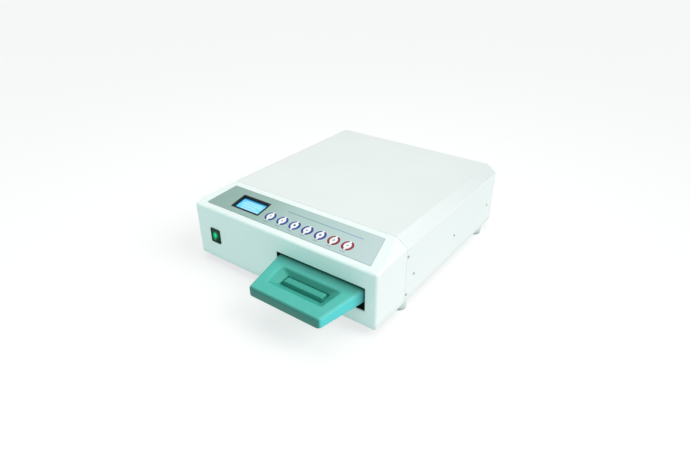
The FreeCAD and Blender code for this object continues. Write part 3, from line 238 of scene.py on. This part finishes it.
# Pan of the case: zinc-plated sheet, folded up at its sides and ends, with pressed
# vents; the channels under the chamber and the pump's saddle are the same sheet.
def tint(red, green, blue):
    """A screen colour, 0 to 255, as the linear colour that the shader takes."""
    parts = [level / 255 for level in (red, green, blue)]
    linear = [p / 12.92 if p <= 0.04045 else ((p + 0.055) / 1.055) ** 2.4 for p in parts]
    return tuple(linear) + (1.0,)


def dress(material, *nodes):
    """Gives the material to solids of the frame."""
    for name in nodes:
        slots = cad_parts[name].data.materials
        slots.clear()
        slots.append(material)


zinc = Finish("zinc_plate")
spangle = zinc.node("ShaderNodeTexVoronoi", {}, {"Vector": zinc.place(), "Scale": 130.0}, "Color")
spangle_level = zinc.node("ShaderNodeRGBToBW", {}, {"Color": spangle})
zinc_grain = zinc.noise(900.0)
dress(zinc.shade(
    base_color=zinc.mix(spangle_level, tint(150, 156, 160), tint(196, 202, 205)), metallic=0.92,
    roughness=0.3 + 0.18 * spangle_level + 0.08 * zinc_grain,
    normal=zinc.bump(zinc_grain, 0.12, 0.0003)),
    "base_pan", "sleeve_supports", "pump_bracket")

# Feet: four pale grey rubber mouldings, screwed to studs under the pan, each with a rounded
# rim and a dished sole; the skin is matt, with painted shade, mottled, towards the table.
foot_top_radius = 0.0155
foot_sole_radius = 0.0147
foot_length = 0.017
foot_rim = 0.0017
sole_ring = 0.0030
sole_step = 0.0012
sole_ledge = 0.0045
sole_dish = 0.0035
front_face = -202.5
lower_edge = 17.0
foot_across = 205.5
foot_depths = (100, 439)
smooth_angle = math.radians(40)
turn_per_copy = 0.7

rubber = Finish("grey_rubber")
foot_level = rubber.axes()[2]
skin = rubber.noise(700.0)
scuff = rubber.noise(160.0, 5.0)
# Painted contact shade: the rubber is darker, mottled, in its lowest 4 mm, towards the table.
low_painted_shade = foot_level.below(0.004, 0.004) * scuff
clean_rubber = rubber.mix(scuff, tint(196, 214, 210), tint(220, 232, 229))
grey_rubber = rubber.shade(
    base_color=rubber.mix(low_painted_shade, clean_rubber, tint(60, 74, 72)),
    roughness=0.62 + 0.2 * skin, normal=rubber.bump(skin + scuff, 0.3, 0.0004))
dress(grey_rubber, "rubber_feet")


def deselect():
    """Leaves edit mode and selects nothing."""
    if bpy.context.mode != "OBJECT":
        bpy.ops.object.mode_set(mode="OBJECT")
    bpy.ops.object.select_all(action="DESELECT")


def pick(test):
    """In edit mode, selects the faces whose normal passes the test."""
    mesh = bpy.context.object.data
    bpy.ops.mesh.select_all(action="DESELECT")
    bpy.ops.object.mode_set(mode="OBJECT")
    for face in mesh.polygons:
        face.select = test(face.normal)
    bpy.ops.object.mode_set(mode="EDIT")


def at(x, y, z):
    """A place given in millimetres from the front face and the lower edge of the case."""
    return Vector((x, y + front_face, z + lower_edge)) / 1000


def fitted(name, model, material, places):
    """Copies of the model at each place, each turned a little, joined into one piece."""
    deselect()
    copies = []
    for index, (place, outward) in enumerate(places):
        copy = model.copy()
        copy.data = model.data.copy()
        bpy.context.collection.objects.link(copy)
        aim = Vector(outward).to_track_quat("Z", "Y").to_matrix().to_4x4()
        twist = Matrix.Rotation(turn_per_copy * index, 4, "Z")
        copy.matrix_world = Matrix.Translation(place) @ aim @ twist
        copies.append(copy)
    for copy in copies:
        copy.select_set(True)
    bpy.context.view_layer.objects.active = copies[0]
    bpy.ops.object.join()
    piece = bpy.context.object
    bpy.ops.object.transform_apply(location=True, rotation=True, scale=True)
    piece.name = name
    bpy.ops.object.shade_smooth_by_angle(angle=smooth_angle)
    piece.data.materials.clear()
    piece.data.materials.append(material)
    bpy.data.objects.remove(model)
    return piece


def is_sole(normal):
    """True for the foot's flat underside, and not for the round beside it."""
    return normal.z < -0.9999


def moulded_foot():
    """One foot about the origin, its top face at height 0."""
    deselect()
    bpy.ops.mesh.primitive_cone_add(vertices=72, radius1=foot_sole_radius, radius2=foot_top_radius,
                                    depth=foot_length, location=(0, 0, -foot_length / 2))
    bpy.ops.object.transform_apply(location=True, rotation=True, scale=True)
    bpy.ops.object.mode_set(mode="EDIT")
    bpy.ops.mesh.select_mode(type="FACE")
    pick(is_sole)
    bpy.ops.mesh.bevel(offset=foot_rim, segments=6, affect="EDGES")
    pick(is_sole)
    for inward, rise in ((sole_ring, sole_step), (sole_ledge, sole_dish)):
        bpy.ops.mesh.inset(thickness=inward)
        bpy.ops.mesh.extrude_region_move(TRANSFORM_OT_translate={"value": (0, 0, rise)})
    bpy.ops.object.mode_set(mode="OBJECT")
    return bpy.context.object


foot_places = [(at(side * foot_across, depth, 0), (0, 0, 1))
               for side in (1, -1) for depth in foot_depths]
feet = fitted("moulded_feet", moulded_foot(), grey_rubber, foot_places)
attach(feet, "case")
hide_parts("rubber_feet")

# Fixings: studs, pins, posts, legs and the fan's finger guard, turned, cold-headed or pressed
# from steel and then plated; fine turning marks show, and the plating has dulled a little.
steel = Finish("plated_steel")
turning = steel.noise(2600.0, 2.0)
tarnish = steel.noise(90.0, 4.0)
plated = steel.shade(
    base_color=steel.mix(tarnish, tint(150, 156, 158), tint(198, 202, 203)), metallic=0.95,
    roughness=0.26 + 0.2 * tarnish + 0.06 * turning, normal=steel.bump(turning, 0.1, 0.0001))
dress(plated, "foot_studs", "latch_pin", "handle_screws", "panel_posts", "board_standoffs",
      "generator_legs", "fan_guard", "mains_pins")

# Cassette and the nozzles that meet it: deep-drawn stainless sheet, brushed along its
# length, a little straw-coloured from the steam's heat.
along_the_sheet = (1, 0.02, 1)
stainless = Finish("brushed_stainless")
brushing = stainless.noise(900.0, 4.0, along_the_sheet)
heat = stainless.noise(14.0, 2.0)
dress(stainless.shade(
    base_color=stainless.mix(heat, tint(188, 192, 194), tint(206, 204, 198)), metallic=1.0,
    roughness=0.2 + 0.22 * brushing, normal=stainless.bump(brushing, 0.18, 0.0002)),
    "cassette_tray", "cassette_lid", "probe_nozzles")

# Tunnel behind the slot: folded stainless sheet that stands on the two channels, coloured
# near black as painted shade, so that the slot reads dark.
lining = Finish("painted_shade_lining")
shade_mottle = lining.noise(60.0, 4.0)
# Painted shade: the sheet is coloured near black to stand for the shade inside the slot.
dress(lining.shade(
    base_color=lining.mix(shade_mottle, tint(20, 30, 30), tint(42, 54, 54)), metallic=0.2,
    roughness=0.5 + 0.25 * shade_mottle, normal=lining.bump(shade_mottle, 0.1, 0.0003)), "chamber_sleeve")

# Rails: two strips of white low-friction plastic, fixed along the tunnel's floor and polished
# in lines by the tray that slides over them.
along_the_rail = (1, 0.05, 1)
glide = Finish("slide_plastic")
rub = glide.noise(400.0, 3.0, along_the_rail)
dress(glide.shade(
    base_color=glide.mix(rub, tint(196, 200, 196), tint(226, 228, 224)),
    roughness=0.3 + 0.25 * rub, normal=glide.bump(rub, 0.1, 0.0002)), "guide_rails")

# Seals and hoses: pale silicone, moulded or drawn and pushed over their spigots, with a
# faint bloom on the surface.
silicone = Finish("pale_silicone")
bloom = silicone.noise(220.0, 4.0)
dress(silicone.shade(
    base_color=silicone.mix(bloom, tint(196, 192, 184), tint(222, 219, 212)),
    roughness=0.42 + 0.25 * bloom, normal=silicone.bump(bloom, 0.12, 0.0003)),
    "lid_seal", "port_seals", "water_hose", "feed_hose", "steam_hose", "exhaust_hose")

# Steam generator: a sand-cast aluminium body with a flanged cover, on three steel legs, left
# as rough as it came out of the mould.
casting = Finish("cast_aluminium")
sand = casting.noise(520.0, 5.0)
dress(casting.shade(
    base_color=casting.mix(sand, tint(150, 153, 155), tint(190, 192, 193)), metallic=0.9,
    roughness=0.45 + 0.25 * sand, normal=casting.bump(sand, 0.35, 0.0005)),
    "steam_generator", "generator_cover")

# Fittings and valve: turned from brass bar and screwed into place, with fine lathe marks,
# dulled a little by handling.
round_the_bar = (0.05, 1, 0.05)
brass = Finish("machined_brass")
dull = brass.noise(70.0, 4.0)
lathe = brass.noise(1800.0, 2.0, round_the_bar)
dress(brass.shade(
    base_color=brass.mix(dull, tint(176, 140, 74), tint(214, 182, 112)), metallic=1.0,
    roughness=0.2 + 0.2 * dull + 0.08 * lathe, normal=brass.bump(lathe, 0.12, 0.0001)),
    "rear_fittings", "exhaust_valve")

# Circuit boards: glass-fibre sheet under green lacquer, on posts, with the tracks showing
# faintly through the lacquer.
lacquer = Finish("board_lacquer")
tracks = lacquer.node("ShaderNodeTexVoronoi", {"distance": "MANHATTAN"},
                      {"Vector": lacquer.place(), "Scale": 260.0})
track_mask = tracks.below(0.25, 0.02)
dress(lacquer.shade(
    base_color=lacquer.mix(track_mask, tint(18, 84, 48), tint(40, 122, 70)),
    roughness=0.3 + 0.15 * track_mask, normal=lacquer.bump(track_mask, 0.2, 0.0002)),
    "keypad_board", "main_board")

# Black mouldings: the display's frame, the switch's frame, the fan, the mains inlet
# and the small units inside, in spark-textured plastic.
moulding = Finish("black_moulding")
spark = moulding.noise(1500.0, 2.0)
handled = moulding.noise(45.0, 4.0)
dress(moulding.shade(
    base_color=moulding.mix(handled, tint(5, 7, 8), tint(17, 19, 21)),
    roughness=0.38 + 0.22 * handled + 0.08 * spark,
    normal=moulding.bump(spark, 0.22, 0.00015), specular_ior_level=0.3),
    "display_bezel", "display_module", "switch_housing", "key_switches", "fan_frame", "fan_rotor",
    "mains_inlet", "probe_block", "cassette_switch", "water_pump", "valve_coil", "air_pump",
    "board_components")

# Case: steel sheet, folded and powder-coated off-white, in three pieces: the front with its
# slope, the cover and the rear panel. The coat has a fine orange peel, is darker and mottled
# along the lower edge, has a rubbed line at the slot's sill, and carries painted shade on the
# two shoulders, greyer towards the rear.
low_edge_line = 0.024
slot_sill = 0.0466
slot_middle = 0.098
slot_half = 0.099
behind_the_front = -0.19
case_bottom = 0.017
shoulder_across = 582.9
shoulder_up = 812.5
shoulder_reach = 222.9
coat = Finish("powder_coat")
peel = coat.noise(620.0, 2.0)
fine_peel = coat.noise(2100.0, 1.0)
patch = coat.noise(7.0, 3.0)
coat_x, coat_y, coat_height = coat.axes()
# Darker, mottled band along the lower edge of the case.
low_edge_darkening = coat_height.below(low_edge_line, 0.007) * coat.noise(120.0, 4.0)
clean = coat.mix(patch, tint(231, 236, 235), tint(238, 242, 241))
slot_rub = abs(coat_height - slot_sill).below(0.0011, 0.0006)
slot_rub = slot_rub * abs(coat_x - slot_middle).below(slot_half, 0.003)
slot_rub = slot_rub * coat_y.below(behind_the_front, 0.005)
clean = coat.mix(slot_rub * coat.noise(90.0, 5.0) * 0.5, clean, tint(150, 160, 158))
# Painted shade: the two shoulders are greyer than the rest of the coat, more so towards the rear.
past_shoulder = abs(coat_x) * shoulder_across + (coat_height - case_bottom) * shoulder_up
shoulder = (past_shoulder - shoulder_reach).above(-0.5, 0.3)
shoulder_painted_shade = coat.mix(coat_y.above(0.1, 0.2), tint(226, 230, 230), tint(213, 219, 218))
clean = coat.mix(shoulder * 0.9, clean, shoulder_painted_shade)
dress(coat.shade(
    base_color=coat.mix(low_edge_darkening * 0.35, clean, tint(168, 176, 174)),
    roughness=0.46 + 0.1 * patch + 0.06 * peel,
    normal=coat.bump(peel + 0.5 * fine_peel, 0.1, 0.00025), specular_ior_level=0.35),
    "front_fascia", "top_cover", "rear_panel")

# Printed film on the slope: silver grey-green polyester, stuck down, a little darker and
# greener at its left end, with a thin darker line along its edge, one long rule, a pale ring
# round each key and a plain short bar under it.
slope = math.atan2(133.0 - 113.5, 95.0)
panel_origin = Vector((0, -0.2025, 0.1305))
film_low = 14.3
film_high = 83.5
film_half = 198.0
film_taper = 14.5
tone_ends = (-185.0, 190.0)
rule_up = 64.5
rule_ends = (-24.0, 150.0)
key_count = 7
first_key = -45.0
key_pitch = 30.0
key_up = 37.3
halo_radius = 12.4
bar_up = 21.6
bar_half = 5.0


def panel_axes(finish):
    """Millimetres across and up the sloping panel."""
    x, y, z = finish.axes()
    back = y - panel_origin.y
    rise = z - panel_origin.z
    across = x * 1000.0
    up = (back * math.cos(slope) + rise * math.sin(slope)) * 1000.0
    return across, up


film = Finish("printed_film")
across, up = panel_axes(film)
along = film.node("ShaderNodeMapRange", {},
                  {"Value": across, "From Min": tone_ends[0], "From Max": tone_ends[1]})
base = film.node("ShaderNodeValToRGB", {"stops": [
    (0.0, tint(138, 170, 162)), (0.3, tint(148, 182, 171)), (0.45, tint(168, 198, 194)),
    (0.75, tint(184, 209, 206)), (1.0, tint(196, 216, 217))]}, {"Fac": along})
flake = film.noise(2600.0, 1.0)
sheen = film.noise(9.0, 2.0)
grain_tone = film.mix(flake * 0.16, base, tint(214, 226, 224))
edge = film_half - film_taper * ((up - film_low) / (film_high - film_low))
rim = (edge - abs(across)).below(1.1, 0.25)
rim = rim.highest((up - film_low).below(1.0, 0.25)).highest((film_high - up).below(1.0, 0.25))
rule = abs(up - rule_up).below(0.9, 0.2)
rule = rule * across.above(rule_ends[0], 0.3) * across.below(rule_ends[1], 0.3)
short_bars = 0
halos = 0
for index in range(key_count):
    from_middle = across - (first_key + key_pitch * index)
    above_middle = up - key_up
    bar = abs(from_middle).below(bar_half, 0.25) * abs(up - bar_up).below(0.75, 0.2)
    short_bars = bar + short_bars
    from_key = (from_middle * from_middle + above_middle * above_middle).maths("SQRT")
    halos = abs(from_key - halo_radius).below(1.0, 0.6) + halos
rule_tone = film.mix(along.above(0.65, 0.2), tint(92, 116, 128), tint(28, 128, 190))
printed = film.mix(halos * 0.4, grain_tone, tint(232, 240, 240))
printed = film.mix(short_bars * 0.6, printed, tint(70, 92, 100))
printed = film.mix(rule * 0.7, printed, rule_tone)
printed = film.mix(rim * 0.4, printed, tint(120, 150, 146))
dress(film.shade(
    base_color=printed, roughness=0.3 + 0.12 * sheen + 0.05 * flake,
    normal=film.bump(flake, 0.06, 0.0001), coat_weight=0.15 + 0.1 * sheen, coat_roughness=0.2),
    "control_overlay")

# Keys: seven domed polyester caps, each printed with a ring that an upright white oval breaks
# into two crescents, and with a small plain sign: blue, then indigo, then two in dark red.
ring_tints = [tint(22, 72, 146), tint(24, 68, 148), tint(22, 62, 156), tint(46, 58, 146),
              tint(56, 60, 152), tint(132, 16, 38), tint(146, 8, 46)]
oval_half = 7.0
oval_rise = 8.2
oval_band = 2.2


def sign(index, u, v):
    """The mask of a key's plain sign."""
    soft = 0.2
    if index in (0, 1):
        side = 1.0 if index == 0 else -1.0
        stem = abs(u).below(0.55, soft) * abs(v).below(2.6, soft)
        head = (abs(u) + v * side).below(2.6, soft) * (v * side).above(0.5, soft)
        return stem.highest(head)
    if index == 2:
        return abs(u).highest(abs(v)).below(2.3, soft)
    if index == 3:
        return (abs(u) - (v + 2.0) * -0.5).below(2.0, soft) * abs(v).below(2.2, soft)
    if index == 4:
        return (u * u + v * v).below(5.5, 0.9)
    if index == 5:
        stem = abs(u).below(0.5, soft) * abs(v).below(2.8, soft)
        return stem + abs(u * u + v * v - 6.0).below(1.4, 0.5)
    return abs(u).below(2.6, soft) * abs(v).below(0.7, soft)


for index in range(key_count):
    cap = Finish("key_print_%d" % (index + 1))
    across, up = panel_axes(cap)
    u = across - (first_key + key_pitch * index)
    v = up - key_up
    round_oval = (u / oval_half) * (u / oval_half) + (v / oval_rise) * (v / oval_rise)
    oval = round_oval.below(1.0, 0.06).highest(abs(u).below(oval_band, 0.4))
    face = cap.mix(oval, ring_tints[index], tint(248, 250, 252))
    wear = cap.noise(300.0, 3.0)
    face = cap.mix(sign(index, u, v) * oval, face, tint(52, 62, 66))
    fine = cap.noise(1800.0, 2.0)
    dress(cap.shade(
        base_color=face, roughness=0.26 + 0.14 * wear,
        normal=cap.bump(fine + wear, 0.08, 0.0001),
        coat_weight=0.2 + 0.1 * wear, coat_roughness=0.15), "key_%d" % (index + 1))

# Display: the glass of a lit liquid-crystal module that sits behind the black frame, sky
# blue, with four rows of plain paler blocks, and a painted shadow of the frame as a darker band
# along its upper edge.
display_across = -106.0
display_up = 47.2
top_row = 9.6
row_pitch = 6.4
row_half = 1.3
row_ends = ((-22.0, 20.0), (-26.0, 24.0), (-24.0, 14.0), (-20.0, 25.0))
block_pace = 1.6
block_shift = 1.7
frame_shadow_up = 13.0
lcd = Finish("lit_display")
across, up = panel_axes(lcd)
u = across - display_across
v = up - display_up
cells = lcd.node("ShaderNodeTexChecker", {}, {"Vector": lcd.place(), "Scale": 1600.0}, "Fac")
rows = 0
for row, (start, end) in enumerate(row_ends):
    line = abs(v - (top_row - row_pitch * row)).below(row_half, 0.3)
    line = line * u.above(start, 0.5) * u.below(end, 0.5)
    gaps = (u * block_pace + row * block_shift).maths("SINE").above(-0.75, 0.2)
    rows = line * gaps + rows
glow = lcd.noise(30.0, 2.0)
blue = lcd.mix(glow, tint(70, 176, 236), tint(106, 200, 248))
screen = lcd.mix(rows * 0.6, blue, tint(204, 204, 252))
# Painted shadow of the frame: a darker band along the upper edge of the glass.
screen = lcd.mix(v.above(frame_shadow_up, 1.6) * 0.6, screen, tint(30, 128, 166))
dress(lcd.shade(
    base_color=lcd.mix(cells * 0.12, screen, tint(40, 120, 190)), roughness=0.12 + 0.05 * glow,
    emission_color=screen, emission_strength=0.62, coat_weight=0.5, coat_roughness=0.05),
    "display_glass")

# Switch: a rocker moulded in clear green plastic over a lamp, snapped into its black frame,
# brightest in the middle, with the plain I and O marks printed on its two slopes.
rocker_x = -0.168
rocker_z = 0.071
lamp_across = -0.7
lamp_up = 1.2
lamp_reach = 9.5
mark_up = 6.3
mark_soft = 0.12
stroke_half = 0.5
stroke_rise = 1.9
ring_radius = 1.7
ring_half = 0.38
lens = Finish("green_rocker")
x, y, z = lens.axes()
u = (x - rocker_x) * 1000.0
v = (z - rocker_z) * 1000.0
lamp_u = u - lamp_across
lamp_v = v - lamp_up
from_lamp = (lamp_u * lamp_u + lamp_v * lamp_v).maths("SQRT")
hot = lens.node("ShaderNodeMapRange", {"interpolation_type": "SMOOTHERSTEP"},
                {"Value": from_lamp, "From Min": 0.0, "From Max": lamp_reach,
                 "To Min": 1.0, "To Max": 0.0})
stroke = abs(u).below(stroke_half, mark_soft) * abs(v - mark_up).below(stroke_rise, mark_soft)
from_ring = (u * u + (v + mark_up) * (v + mark_up)).maths("SQRT")
marks = stroke.highest(abs(from_ring - ring_radius).below(ring_half, mark_soft))
prism_lines = lens.noise(1400.0, 1.0)
green = lens.mix(hot, tint(0, 58, 36), tint(10, 190, 116))
face = lens.mix(marks * 0.3, green, tint(130, 226, 184))
dress(lens.shade(
    base_color=lens.mix(hot, tint(4, 40, 26), tint(10, 96, 60)),
    roughness=0.4 + 0.1 * prism_lines, emission_color=face, emission_strength=1.3,
    normal=lens.bump(prism_lines, 0.12, 0.0002), specular_ior_level=0.08), "switch_rocker")

# Handle and thumb latch: heat-resistant teal mouldings with a fine spark texture, screwed to
# the tray. Light and shade are painted on: a painted highlight on the top, painted light on
# the right flank, and painted shade in the recess, on the front lip and on the end in the slot.
handle_tip = -0.2995
handle_top = 0.08325
handle_rise = 0.0075 / 0.097
handle_flare = 0.018 / 0.097
handle_tip_side = 0.175
lip_edge = -0.2962
recess_middle = -0.2488
recess_half_length = 0.0265
recess_half_width = 0.0715
slot_shadow = -0.216
top_band_depth = 0.00175
teal = Finish("teal_moulding")
texture = teal.noise(1300.0, 2.0)
flow = teal.noise(16.0, 3.0)
speck = teal.noise(320.0, 4.0)
x, y, z = teal.axes()
over_top = z - handle_top - (y - handle_tip) * handle_rise
# Painted highlight: the top of the handle is paler, mottled.
top_painted_light = over_top.above(-top_band_depth, 0.0012) * teal.noise(60.0, 3.0)
body = teal.mix(flow, tint(64, 182, 168), tint(76, 194, 181))
body = teal.mix(speck * 0.2, body, tint(52, 160, 146))
# Painted shade: the front lip is darker.
body = teal.mix(y.below(lip_edge, 0.0016) * 0.58, body, tint(10, 80, 62))
# Painted shade: the recess is darker.
recess_painted_shade = over_top.below(-top_band_depth, 0.002)
recess_painted_shade = recess_painted_shade * abs(y - recess_middle).below(recess_half_length, 0.001)
recess_painted_shade = recess_painted_shade * abs(x - slot_middle).below(recess_half_width, 0.001)
body = teal.mix(recess_painted_shade * 0.42, body, tint(34, 130, 104))
# Painted light: the right flank is brighter.
flank_painted_light = (x - handle_tip_side - (y - handle_tip) * handle_flare).above(-0.0012, 0.0012)
body = teal.mix(flank_painted_light * 0.6, body, tint(84, 222, 228))
# Painted shadow: the end of the handle that runs into the slot is darker.
body = teal.mix(y.above(slot_shadow, 0.014) * 0.42, body, tint(62, 88, 72))
dress(teal.shade(
    base_color=teal.mix(top_painted_light * 0.25, body, tint(120, 208, 196)),
    roughness=0.34 + 0.14 * flow + 0.08 * texture,
    normal=teal.bump(texture + 0.4 * speck, 0.16, 0.0002),
    coat_weight=0.05 + 0.05 * flow, coat_roughness=0.3), "tray_handle", "lid_latch")

# Screws of the cover and of the rear panel: plated pan heads with a cross recess, driven
# home. One is modelled and copied to every place where the sheet is drilled.
head_radius = 0.003
head_height = 0.0018
head_round = 0.0011
recess_size = (0.0034, 0.0008, 0.0022)
recess_taper = 0.55
cover_side = 220.0
cover_drillings = [(100, 15.6), (100, 98), (125, 49), (292, 49), (459, 49)]
rear_edge_drillings = (-195, -90, 30, 195)
rear_edge_up = 9
rear_sheet = 488
fan_middle = (120, 62)
fan_fixing = 35.75
fan_guard_face = 489.6
inlet_middle = (-175, 45)
inlet_fixing = 20
inlet_face = 491


def pan_head():
    """One screw head about the origin, its bearing face at height 0."""
    deselect()
    bpy.ops.mesh.primitive_cylinder_add(vertices=40, radius=head_radius, depth=head_height,
                                        location=(0, 0, head_height / 2))
    head = bpy.context.object
    bpy.ops.object.mode_set(mode="EDIT")
    bpy.ops.mesh.select_mode(type="FACE")
    pick(lambda normal: normal.z > 0.9)
    bpy.ops.mesh.bevel(offset=head_round, segments=5, affect="EDGES")
    bpy.ops.object.mode_set(mode="OBJECT")
    for turn in (0, math.pi / 2):
        deselect()
        bpy.ops.mesh.primitive_cube_add(size=1, location=(0, 0, head_height), rotation=(0, 0, turn))
        blade = bpy.context.object
        blade.scale = recess_size
        bpy.ops.object.transform_apply(location=True, rotation=True, scale=True)
        bpy.ops.object.mode_set(mode="EDIT")
        pick(lambda normal: normal.z < -0.9)
        bpy.ops.transform.resize(value=(recess_taper, recess_taper, 1))
        deselect()
        head.select_set(True)
        bpy.context.view_layer.objects.active = head
        cut = head.modifiers.new("recess", "BOOLEAN")
        cut.operation = "DIFFERENCE"
        cut.object = blade
        bpy.ops.object.modifier_apply(modifier=cut.name)
        bpy.data.objects.remove(blade)
    return head


cover_places = [(at(side * cover_side, depth, height), (side, 0, 0))
                for side in (1, -1) for depth, height in cover_drillings]
cover_heads = fitted("cover_screw_heads", pan_head(), plated, cover_places)
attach(cover_heads, "case")
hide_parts("cover_screws")
rear_spots = [(x, rear_sheet, rear_edge_up) for x in rear_edge_drillings]
rear_spots += [(fan_middle[0] + i * fan_fixing, fan_guard_face, fan_middle[1] + k * fan_fixing)
               for i in (-1, 1) for k in (-1, 1)]
rear_spots += [(inlet_middle[0] + i * inlet_fixing, inlet_face, inlet_middle[1]) for i in (-1, 1)]
rear_places = [(at(*spot), (0, 1, 0)) for spot in rear_spots]
rear_heads = fitted("rear_screw_heads", pan_head(), plated, rear_places)
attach(rear_heads, "case")
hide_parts("rear_screws")
deselect()
